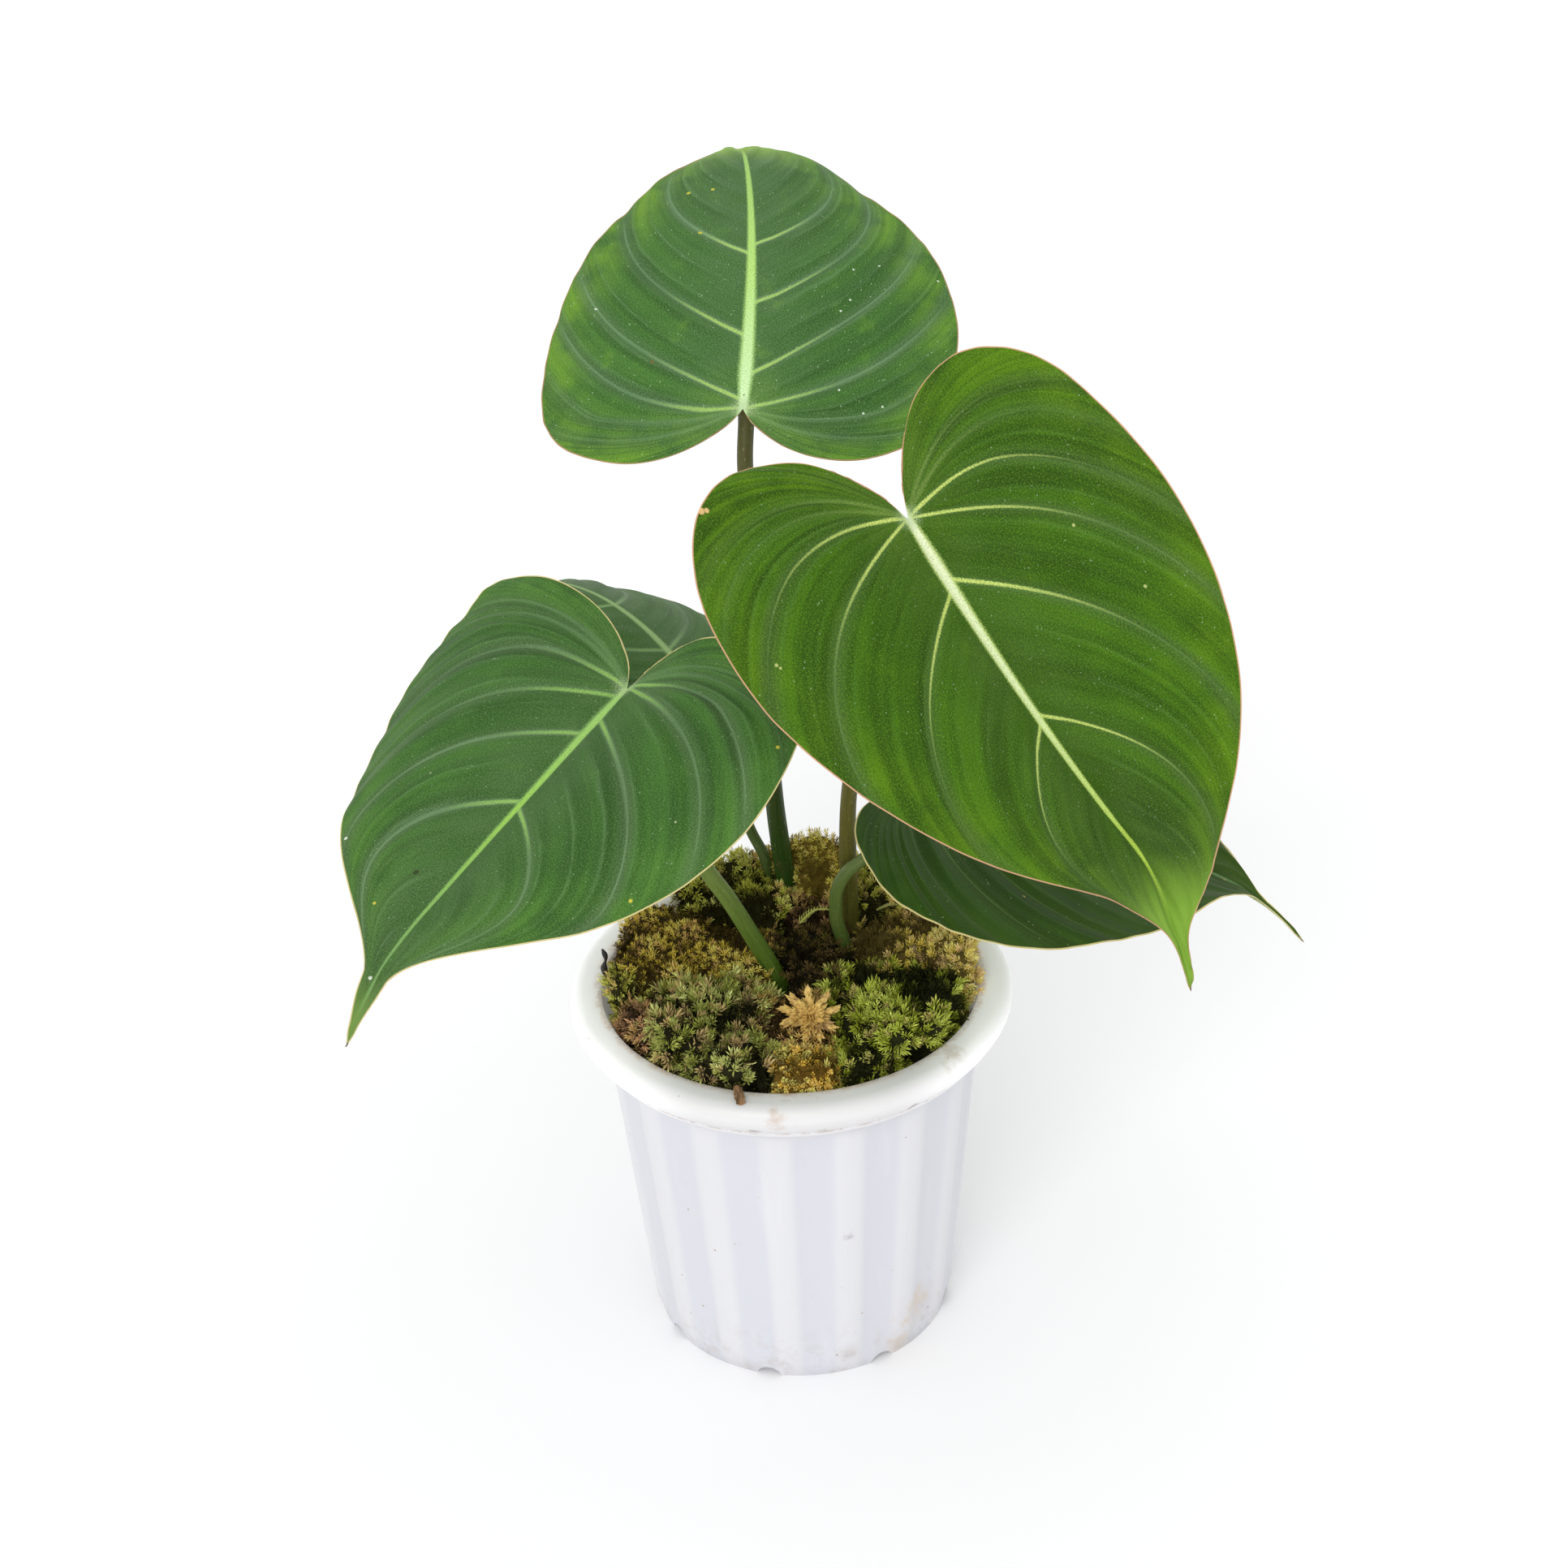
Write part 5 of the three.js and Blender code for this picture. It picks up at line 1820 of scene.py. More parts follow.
class SproutKit:
    """Makes the few shoots that the moss cushions repeat, in millimetres, growing along +Z."""

    def __init__(self, random: np.random.Generator) -> None:
        """Model the single leaflet and keep the random source."""
        self.random = random
        self.leaflet = self._leaflet()

    @staticmethod
    def _leaflet() -> Sprout:
        """Model one leaflet a millimetre long, flat and closed, widest at three fifths of its length.

        Returns:
            The leaflet.
        """
        rest_tools()
        bpy.ops.mesh.primitive_cone_add(
            vertices=3, radius1=0.5, radius2=0, depth=0.4, end_fill_type="NGON", location=(0, 0, 0.8)
        )
        leaflet = settle(bpy.context.object, "leaflet")
        with editing(leaflet, points_of(leaflet)[:, 2] < 0.7):
            bpy.ops.mesh.poke()
        last = len(leaflet.data.vertices) - 1
        with editing(leaflet, np.arange(last + 1) == last):
            bpy.ops.transform.translate(value=(0, 0, -0.6))
        with editing(leaflet):
            bpy.ops.transform.resize(value=(1, 0.4, 1), center_override=(0, 0, 0))
        return Sprout.taken(leaflet)

    def brush(
        self, length: float, hairs: int, leans: tuple[float, float], width: float, hair: float
    ) -> Sprout:
        """Make a shoot with fine leaves all round that point forward, like a paintbrush.

        Args:
            length: Length of the shoot in millimetres.
            hairs: Number of leaves.
            leans: How far the lowest and the topmost leaf lean out, in degrees.
            width: Width of a leaf in millimetres.
            hair: Length of a leaf in millimetres.

        Returns:
            The shoot.
        """
        parts = []
        for number in range(hairs):
            share = (number + 0.5) / hairs
            lean = math.radians(leans[0] + (leans[1] - leans[0]) * share + self.random.uniform(-8, 8))
            size = hair * self.random.uniform(0.82, 1.15)
            azimuth = number * 2.4 + self.random.uniform(-0.3, 0.3)
            turn = Matrix.Rotation(azimuth, 3, "Z") @ Matrix.Rotation(lean, 3, "X")
            at, tips = (0, 0, (length - 0.85 * hair) * share), (0.05 + 0.4 * share, 0.65 + 0.35 * share)
            parts.append(self.leaflet.placed(turn, (width, width, size), at, tips))
        return Sprout.gather(parts)

    def feather(self, length: float, pairs: int, blunt: float = 0.45, arch: float = 0.35) -> Sprout:
        """Make an arching frond with leaflets to both sides, bending to +Y.

        Args:
            length: Length of the frond in millimetres.
            pairs: Number of leaflet pairs.
            blunt: Share of the full leaflet length that is left at the tip.
            arch: How far the frond bends, as a share of its length.

        Returns:
            The frond.
        """
        spine = Matrix.Rotation(-arch * 0.6, 3, "X")
        parts = [self.leaflet.placed(spine, (0.35, 0.35, length * 0.97), (0, 0, 0), (0.1, 0.7))]
        for number in range(pairs):
            share = (number + 0.6) / pairs
            at = (0, arch * length * share**2, length * share)
            size = length * 0.3 * (math.sin(math.pi * min(share + 0.18, 1) ** 0.8) * (1 - blunt) + blunt)
            tips = (0.15 + 0.3 * share, 0.75 + 0.25 * share)
            for side in (1, -1):
                lean = math.radians(58 - 26 * share + self.random.uniform(-8, 8))
                turn = (
                    Matrix.Rotation(-arch * share * 1.6, 3, "X")
                    @ Matrix.Rotation(side * lean, 3, "Y")
                    @ Matrix.Rotation(self.random.uniform(-0.5, 0.5), 3, "Z")
                )
                parts.append(self.leaflet.placed(turn, (0.42, 0.42, size), at, tips))
        return Sprout.gather(parts)

    def rosette(self, outer: int = 9, inner: int = 4) -> Sprout:
        """Make a flat star of long brushes round a ring of shorter ones.

        Args:
            outer: Number of long brushes.
            inner: Number of short brushes.

        Returns:
            The rosette.
        """
        parts = []
        for number in range(outer + inner):
            short = number >= outer
            finger = self.brush(4.2 if short else 7.0, 24, (46, 12), 1.3, 2.7)
            lean = math.radians(self.random.uniform(42, 56) if short else self.random.uniform(68, 84))
            spread = number + 0.5 * short + self.random.uniform(-0.22, 0.22)
            turn = Matrix.Rotation(spread * FULL_TURN / (inner if short else outer), 3, "Z")
            turn = turn @ Matrix.Rotation(-lean, 3, "X")
            parts.append(finger.placed(turn, (1, 1, 1), (0, 0, 0.8), (0.1, 1)))
        return Sprout.gather(parts)

    def make(self, habit: Habit) -> list[Sprout]:
        """Make the variants of a habit.

        Args:
            habit: The habit.

        Returns:
            Its shoots.
        """
        makers = {
            Habit.BRUSH: [(self.brush, (3.2, 10, (66, 16), 0.5, 1.9))] * 3,
            Habit.TUFT: [(self.brush, (5.0, 11, (58, 20), 0.66, 2.6))] * 3,
            Habit.FEATHER: [(self.feather, row) for row in ((6.0, 9), (4.6, 9), (7.0, 12, 0.5, 0.5))],
            Habit.ROSETTE: [(self.rosette, ())],
            Habit.BUD: [(self.brush, (1.7, 8, (85, 20), 0.8, 1.05))] * 2,
            Habit.STRAND: [(self.brush, (5.5, 10, (36, 12), 0.54, 2.0))] * 2,
        }
        return [maker(*sizes) for maker, sizes in makers[habit]]


@dataclass(frozen=True)
class Growth:
    """One kind of shoot on a cushion, in heads of one or more.

    The spacing of the heads is in millimetres. The lean strews the heads and the fan the shoots of a
    head, as shares of upright.
    """

    habit: Habit
    spacing: float
    scale: float = 1.0
    clump: int = 1
    lean: float = 0.35
    fan: float = 0.12


@dataclass(frozen=True)
class Crown:
    """One large shoot on a cushion: the place of its foot in millimetres, its direction and its size."""

    habit: Habit
    foot: Point
    axis: Point
    scale: float

    def shown(self, sprout: Sprout) -> Sprout:
        """Return the shoot at its place, in metres."""
        turn = Vector(self.axis).to_track_quat("Z", "Y").to_matrix()
        return sprout.placed(turn, (self.scale * MM,) * 3, tuple(Vector(self.foot) * MM), (0, 1))


@dataclass
class MossCushion:
    """A domed cushion: a heart with pillows and creases in the shape of its solid, covered in shoots."""

    name: str
    finish: MossFinish
    growths: tuple[Growth, ...]
    seed: int
    crown: Crown | None = None
    pillow: float = 12 * MM
    crease: float = 8 * MM
    lump: float = 1.8 * MM
    voxel: float = 1.2 * MM
    spread: float = 1.17
    room: float = 53.4 * MM
    fullness: float = 0.42
    closeness: float = 0.93
    rim_lift: float = 4.0 * MM
    floor: float = 105 * MM
    heart_tip: float = 0.06
    bare_share: float = 0.28
    crown_tint: float = 0.75

    def build(self, solid: Piece, kits: dict[Habit, list[Sprout]]) -> Piece:
        """Make the cushion.

        Args:
            solid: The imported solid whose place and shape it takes.
            kits: The shoots of each habit.

        Returns:
            The cushion with its shoots, as one mesh.
        """
        random = np.random.default_rng(self.seed)
        heart, crest = self._heart(solid)
        # The heart's tip values follow the crest, so its creases lean to the dark heart colour: painted
        # shade.
        parts = [Sprout.taken(heart, self.heart_tip * crest)]
        tints = [random.uniform(0.2, 0.4, len(crest))]
        for growth in self.growths:
            copies, tint = self._scatter(parts[0], crest, growth, kits[growth.habit], random)
            parts.extend(copies)
            tints.extend(tint)
        if self.crown is not None:
            parts.append(self.crown.shown(kits[self.crown.habit][0]))
            tints.append(np.full(len(parts[-1].points), self.crown_tint))
        material = self.finish.material(self.name)
        return Sprout.gather(parts).shown(f"{self.name}_tufts", np.concatenate(tints), material)

    def _heart(self, solid: Piece) -> tuple[Piece, Array]:
        """Make a pillowed copy of the solid, spread a little over its neighbours and up to the rim.

        Args:
            solid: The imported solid.

        Returns:
            The heart, and for each of its points 0 in a crease up to 1 on a pillow.
        """
        heart = solid.copy()
        heart.data = solid.data.copy()
        heart.parent = None
        bpy.context.scene.collection.objects.link(heart)
        merge_and_face_out(heart, 0.01 * MM)
        points = points_of(heart)
        middle = (points.min(axis=0) + points.max(axis=0))[:2] / 2
        points[:, :2] = middle + (points[:, :2] - middle) * self.spread
        distance = np.linalg.norm(points[:, :2], axis=1)
        points[:, :2] *= np.minimum(1, self.room / np.maximum(distance, MM))[:, None]
        low, high = points[:, 2].min(), points[:, 2].max()
        height = ((points[:, 2] - low) / (high - low)) ** self.fullness
        points[:, 2] = low + (high - low) * height + self.rim_lift * ease((distance / MM - 41) / 9) * height
        move_points(heart, points)
        finish_modifier(heart, "REMESH", mode="VOXEL", voxel_size=self.voxel)
        finish_modifier(heart, "TRIANGULATE")
        smooth = points_of(heart)
        settings = (("VORONOI", self.pillow, -self.crease, 0.26), ("CLOUDS", 3 * MM, self.lump, 0.5))
        for kind, grain, strength, level in settings:
            texture = bpy.data.textures.new("pillows", kind)
            texture.noise_scale = grain
            finish_modifier(
                heart, "DISPLACE", texture=texture, strength=strength, mid_level=level,
                texture_coords="GLOBAL",
            )
            bpy.data.textures.remove(texture)
        moved = points_of(heart) - smooth
        outward = np.linalg.norm(moved, axis=1)
        outward *= np.sign((moved * read(heart.data.vertices, "normal", 3)).sum(axis=1))
        return heart, ease((outward / self.crease + 0.39) / 0.5)

    def _heads(
        self, heart: Sprout, crest: Array, spacing: float, random: np.random.Generator
    ) -> tuple[Array, Array, Array]:
        """Find places on the upper faces that keep a distance from each other.

        Args:
            heart: Mesh of the cushion's heart, in metres.
            crest: For each point, 0 in a crease, which stays nearly bare, up to 1 on a pillow.
            spacing: Least distance in metres.
            random: Source of the random places.

        Returns:
            Rows of places, rows of normals, and the crest at each place.
        """
        points, triangles = heart.points, heart.triangles
        a, b, c = (points[triangles[:, corner]] for corner in range(3))
        cross = np.cross(b - a, c - a)
        normal = unit(cross)
        high = points[triangles].mean(axis=1)[:, 2] > self.floor
        weight = np.linalg.norm(cross, axis=1) / 2 * np.clip((normal[:, 2] + 0.45) / 0.5, 0, 1) * high
        crest = crest[triangles[:, 0]]
        weight = weight * np.clip(crest * 3, self.bare_share, 1)
        count = int(6 * weight.sum() / spacing**2)
        face = random.choice(len(triangles), size=count, p=weight / weight.sum())
        u, v = random.random((2, count))
        flip = u + v > 1
        u[flip], v[flip] = 1 - u[flip], 1 - v[flip]
        foot = a[face] + (b - a)[face] * u[:, None] + (c - a)[face] * v[:, None]
        kept: list[int] = []
        for number in range(count):
            if not kept or np.min(np.linalg.norm(foot[kept] - foot[number], axis=1)) > spacing:
                kept.append(number)
        return foot[kept], normal[face[kept]], crest[face[kept]]

    def _scatter(
        self, heart: Sprout, crest: Array, growth: Growth, sprouts: Sequence[Sprout],
        random: np.random.Generator,
    ) -> tuple[list[Sprout], list[Array]]:
        """Set heads of several shoots over the upper faces of a cushion.

        Args:
            heart: Mesh of the cushion's heart, in metres.
            crest: For each point, 0 in a crease up to 1 on a pillow; low values darken the shoots as painted
                shade.
            growth: Distance, size and lean of the heads.
            sprouts: Variants of the shoot, in millimetres.
            random: Source of the random places.

        Returns:
            The copies of each variant as one mesh, and the tint of each of its points.
        """
        foot, normal, crest = self._heads(heart, crest, growth.spacing * self.closeness * MM, random)
        # light is painted shade: shoots in the creases get low tip values, so the material gives them the
        # dark heart colour.
        heads, light = len(foot), 0.09 + 0.91 * crest
        lift = unit(normal * 0.9 + np.array([0, 0, 0.45]) + random.normal(0, growth.lean, (heads, 3)))
        tone, size = random.random(heads), growth.scale * random.uniform(0.7, 1.25, heads) * MM
        copies, tints = [], []
        for number in range(growth.clump):
            sprout = sprouts[number % len(sprouts)]
            axis = unit(lift + random.normal(0, growth.fan, (heads, 3)))
            spin = random.uniform(0, FULL_TURN, heads)
            helper = unit(np.cross(axis, np.stack([np.cos(spin), np.sin(spin), 0 * spin], axis=1)))
            frames = np.stack([helper, np.cross(axis, helper), axis], axis=2)
            placed = np.einsum("nij,pj->npi", frames, sprout.points) * size[:, None, None]
            placed += (foot + random.normal(0, 0.25 * MM, (heads, 3)))[:, None]
            count = len(sprout.points)
            faces = (sprout.triangles[None] + (np.arange(heads) * count)[:, None, None]).reshape(-1, 3)
            copies.append(Sprout(placed.reshape(-1, 3), faces, (sprout.tips * light[:, None]).ravel()))
            tints.append(np.repeat(np.clip(tone + random.normal(0, 0.08, heads), 0, 1), count))
        return copies, tints


@dataclass
class Sprig:
    """A loose leafy sprig lying on the moss: a thin stem with leaflets along it."""

    name: str
    route: tuple[Point, ...]
    finish: MossFinish
    pairs: int
    leaflet: float
    seed: int
    radius: float = 0.35 * MM
    stem_tip: float = 0.45
    tint: float = 0.5

    def build(self, kit: SproutKit) -> Piece:
        """Make the sprig from a bent stalk and copied leaflets.

        Args:
            kit: Holder of the leaflet.

        Returns:
            The sprig.
        """
        random = np.random.default_rng(self.seed)
        stem = Stalk(f"{self.name}_stem", self.route, [self.radius, self.radius * 0.5], 8, 14).build()
        finish_modifier(stem, "TRIANGULATE")
        parts = [Sprout.taken(stem, self.stem_tip)]
        places = route_points(self.route, self.pairs + 1)
        for number in range(self.pairs):
            towards, share = unit(places[number + 1] - places[number]), number / self.pairs
            side_way = unit(np.cross(towards, (0, 0, 1)))
            size = self.leaflet * (1 - 0.55 * share) * random.uniform(0.85, 1.15)
            for side in (1, -1):
                out = unit(towards * 0.75 + side * side_way * 0.8 + np.array([0, 0, 0.25]))
                turn = Vector(out).to_track_quat("Z", "Y").to_matrix()
                scale = (0.42 * MM, 0.42 * MM, size * MM)
                parts.append(kit.leaflet.placed(turn, scale, tuple(places[number]), (0.4, 1)))
        whole = Sprout.gather(parts)
        material = self.finish.material(self.name)
        return whole.shown(f"{self.name}_leafy", np.full(len(whole.points), self.tint), material)


# ---- scraps


def laid(piece: Piece, name: str, points: Array, turn: float, centre: Point) -> None:
    """Name a scrap and lay it at a place in millimetres, turned about the upright axis."""
    move_points(piece, (points @ np.array(Matrix.Rotation(turn, 3, "Z")).T + np.array(centre)) * MM)
    settle(piece, name)


@dataclass
class RootTip:
    """The black, hooked root tip at the rim."""

    route: tuple[Point, ...] = (
        (-52.2, 1, 112.6), (-53.2, 1, 115.4), (-53.6, 1.3, 118), (-52.9, 1.6, 121), (-53.7, 1.8, 124),
    )
    radii: tuple[float, ...] = (1.15, 0.95, 0.55, 0.7)
    finish: ScrapFinish = ScrapFinish((0.022, 0.018, 0.016), (0.006, 0.005, 0.005), 0.8 * MM, 0.45)

    def build(self) -> Piece:
        """Make the root tip.

        Returns:
            The root tip.
        """
        radii = [radius * MM for radius in self.radii]
        root = Stalk("hooked_root_tip", self.route, radii, 14, 28, self._knobs).build()
        dress(root, self.finish.material("root"))
        return root

    @staticmethod
    def _knobs(share: Array) -> Array:
        """Return the knobs and the pinched end, as a change of the radius in metres."""
        return 0.18 * MM * np.sin(share * 17) - 0.2 * MM * ease((share - 0.85) / 0.15)


@dataclass
class SeedHusk:
    """A small split husk on the moss."""

    centre: Point = (35.7, 1.1, 119.6)
    radii: Point = (1.2, 1.9, 1.0)
    turn: float = math.radians(-20)
    finish: ScrapFinish = ScrapFinish((0.42, 0.3, 0.17), (0.12, 0.07, 0.035), 0.7 * MM, 0.6)

    def build(self) -> Piece:
        """Make the husk: an oval with a pressed furrow and a pinched end.

        Returns:
            The husk.
        """
        rest_tools()
        bpy.ops.mesh.primitive_uv_sphere_add(segments=28, ring_count=18, radius=1 * MM)
        husk = bpy.context.object
        points = points_of(husk) / MM
        points[:, 2] -= 0.35 * hill(points[:, 0], 0.22) * np.clip(points[:, 2], 0, 1)
        points[:, 0] *= 1 - 0.35 * np.clip(points[:, 1], 0, 1) ** 2
        laid(husk, "split_seed_husk", points * self.radii, self.turn, self.centre)
        smooth_by_angle(husk, 60)
        dress(husk, self.finish.material("husk"))
        return husk


@dataclass
class DryFlake:
    """A curled brown scrap of dry leaf that hangs over the front of the rim."""

    centre: Point = (-15.5, -56.2, 112.5)
    size: tuple[float, float] = (2.8, 7.8)
    thickness: float = 0.18 * MM
    turn: float = math.radians(8)
    finish: ScrapFinish = ScrapFinish((0.36, 0.2, 0.09), (0.1, 0.05, 0.022), 0.9 * MM, 0.7)

    def build(self) -> Piece:
        """Make the flake: a torn sheet, curled and creased.

        Returns:
            The flake.
        """
        rest_tools()
        bpy.ops.mesh.primitive_grid_add(x_subdivisions=14, y_subdivisions=22, size=1)
        flake = bpy.context.object
        x, y, _ = points_of(flake).T
        torn = 1 - 0.55 * np.abs(y + 0.15) ** 1.2 + 0.16 * np.sin(y * 23) * np.abs(x)
        width, length = self.size
        curl = 0.25 * np.sin(x * 5 + y * 3) - 1.6 * np.clip(-y, 0, 1) ** 1.5 + 0.9 * x**2 * width / 4
        places = np.stack([x * width * torn, y * length, 0.55 + curl], axis=1)
        laid(flake, "curled_dry_flake", places, self.turn, self.centre)
        finish_modifier(flake, "SOLIDIFY", thickness=self.thickness, offset=0)
        smooth_by_angle(flake, 60)
        dress(flake, self.finish.material("flake"))
        return flake


# ---- studio


@dataclass
class Studio:
    """Pale floor, soft lights and the camera."""

    camera_place: Point = (0.7 * MM, -780 * MM, 648.6 * MM)
    camera_pitch: float = 0.543
    camera_roll: float = -0.045
    lens: float = 50.0
    sensor: float = 24.0
    floor_size: float = 8.0
    floor_place: Point = (0, 1.5, 0)
    floor_colour: Colour = (0.93, 0.93, 0.94)
    sky: float = 1.0
    sun: float = 1.0
    sun_from: Point = (-0.26, -0.8, 0.54)
    sun_softness: float = math.radians(30)

    def build(self) -> None:
        """Set up the floor, the lights, the camera and the view."""
        self._floor()
        self._camera()
        world = bpy.data.worlds.new("studio")
        world.use_nodes = True
        background = world.node_tree.nodes["Background"]
        background.inputs["Color"].default_value = (1.0, 1.0, 1.0, 1.0)
        background.inputs["Strength"].default_value = self.sky
        bpy.context.scene.world = world
        self._sun()
        view = bpy.context.scene.view_settings
        view.view_transform = "Standard"
        view.look = "None"

    def _floor(self) -> None:
        """Lay the floor."""
        rest_tools()
        bpy.ops.mesh.primitive_plane_add(size=self.floor_size, location=self.floor_place)
        floor = settle(bpy.context.object, "studio_floor")
        bench = Bench("pale_floor")
        dress(floor, bench.surface(Base_Color=self.floor_colour, Roughness=0.9, Specular_IOR_Level=0.1))

    def _sun(self) -> None:
        """Add the broad key light, from the upper left in front."""
        rest_tools()
        aim = -Vector(self.sun_from)
        turn = aim.to_track_quat("-Z", "Y").to_euler()
        bpy.ops.object.light_add(type="SUN", location=Vector(self.sun_from) * 2, rotation=turn)
        lamp = bpy.context.object
        lamp.name = "key_light"
        lamp.data.energy = self.sun
        lamp.data.angle = self.sun_softness

    def _camera(self) -> None:
        """Place the camera."""
        pitch, roll = self.camera_pitch, self.camera_roll
        forward = Vector((0, math.cos(pitch), -math.sin(pitch)))
        right = Vector((1, 0, 0))
        up = right.cross(forward)
        rolled_right = math.cos(roll) * right + math.sin(roll) * up
        rolled_up = -math.sin(roll) * right + math.cos(roll) * up
        turn = Matrix((rolled_right, rolled_up, -forward)).transposed()
        rest_tools()
        bpy.ops.object.camera_add(location=self.camera_place, rotation=turn.to_euler())
        camera = bpy.context.object
        camera.name = "studio_camera"
        camera.data.sensor_fit = "HORIZONTAL"
        camera.data.sensor_width = self.sensor
        camera.data.lens = self.lens
        camera.data.clip_end = 20
        bpy.context.scene.camera = camera


# ---- the plant's own sizes

FRONT_RIGHT_FINISH = LeafFinish(
    spots=(
        spots((0.7, 0.46, 0.2), (-19.6, -52.4, 1.0), (-19.2, -51.0, 0.7))
        + spots(
            (0.42, 0.46, 0.16), (22.5, 35.7, 0.5), (42.2, 42.8, 0.5), (17.4, -56.6, 0.5), (18.4, -56.2, 0.4)
        )
    ),
)
FRONT_LEFT_FINISH = LeafFinish(
    deep=(0.022, 0.07, 0.014),
    bright=(0.062, 0.18, 0.026),
    painted_sheen=(0.088, 0.142, 0.066),
    glow=(0.11, 0.26, 0.032),
    nap=(0.132, 0.236, 0.068),
    vein=(0.27, 0.48, 0.11),
    far_vein=(0.17, 0.29, 0.14),
    vein_width=0.38 * MM,
    vein_fade=(0.05, 0.4),
    far_share=0.5,
    contrast=0.62,
    midrib=((0.34, 0.58, 0.16), (0.3, 0.56, 0.09), (0.17, 0.32, 0.11)),
    midrib_width=(1.8 * MM, 0.25 * MM),
    margin=(0.66, 0.56, 0.26),
    tip=(0.17, 0.29, 0.06),
    tip_from=0.76,
    thorn=0.9,
    spots=(
        spots((0.03, 0.05, 0.015), (73.4, -9.4, 0.9))
        + spots((0.66, 0.72, 0.6), (72.5, -36.4, 0.6), (102.6, -1.6, 0.6))
        + spots((0.56, 0.5, 0.06), (3.5, 58.0, 0.6), (85.3, -13.2, 0.5), (56.9, 51.0, 0.6))
        + spots((0.34, 0.38, 0.2), (33.9, 47.9, 0.4), (47.5, -27.5, 0.4))
    ),
)
TOP_FINISH = LeafFinish(
    deep=(0.026, 0.086, 0.016),
    bright=(0.066, 0.19, 0.028),
    painted_sheen=(0.09, 0.16, 0.08),
    glow=(0.14, 0.3, 0.022),
    nap=(0.15, 0.27, 0.09),
    vein=(0.38, 0.58, 0.14),
    far_vein=(0.18, 0.31, 0.16),
    vein_width=0.4 * MM,
    vein_fade=(0.1, 0.5),
    far_share=0.5,
    glow_share=1.0,
    contrast=0.6,
    midrib=((0.62, 0.84, 0.46), (0.44, 0.7, 0.18), (0.34, 0.58, 0.14)),
    midrib_width=(2.3 * MM, 0.45 * MM),
    margin=(0.42, 0.26, 0.13),
    speckle=0.9,
    spots=(
        spots((0.52, 0.5, 0.04), (89.8, 18.2, 0.8), (91.0, 10.9, 0.7), (68.3, 15.1, 0.8))
        + spots((0.2, 0.1, 0.03), (16.5, 26.9, 0.6))
        + spots(
            (0.6, 0.7, 0.56),
            (34.2, -25.6, 0.4), (38.6, -28.2, 0.4), (51.5, -29.1, 0.4), (54.0, -36.4, 0.4),
            (50.4, -53.0, 0.4), (1.1, -38.5, 0.4), (-1.1, -33.4, 0.4), (6.0, -26.3, 0.4), (39.9, 45.6, 0.5),
        )
    ),
)
LOW_RIGHT_FINISH = LeafFinish(
    deep=(0.014, 0.042, 0.004),
    bright=(0.032, 0.088, 0.006),
    painted_sheen=(0.038, 0.066, 0.008),
    glow=(0.055, 0.12, 0.008),
    nap=(0.05, 0.1, 0.006),
    vein=(0.15, 0.25, 0.07),
    far_vein=(0.09, 0.16, 0.05),
    vein_fade=(0.1, 0.4),
    far_share=0.6,
    contrast=0.6,
    midrib=((0.3, 0.46, 0.16), (0.22, 0.36, 0.12), (0.12, 0.22, 0.08)),
    margin=(0.7, 0.6, 0.26),
    margin_width=0.55 * MM,
    tip=(0.05, 0.105, 0.012),
    thorn=0.985,
    spots=spots((0.42, 0.3, 0.1), (106.5, -0.6, 0.7), (20.5, -40.8, 0.5)),
)
BACK_LEFT_FINISH = LeafFinish(
    deep=(0.036, 0.09, 0.02),
    bright=(0.065, 0.18, 0.022),
    painted_sheen=(0.11, 0.17, 0.09),
    glow=(0.08, 0.2, 0.02),
    nap=(0.12, 0.2, 0.08),
    vein=(0.22, 0.36, 0.13),
    far_vein=(0.17, 0.28, 0.14),
    vein_fade=(0.1, 0.4),
    far_share=0.6,
    contrast=0.5,
    midrib=((0.36, 0.52, 0.22), (0.3, 0.45, 0.18), (0.22, 0.36, 0.12)),
    midrib_width=(1.5 * MM, 0.3 * MM),
)

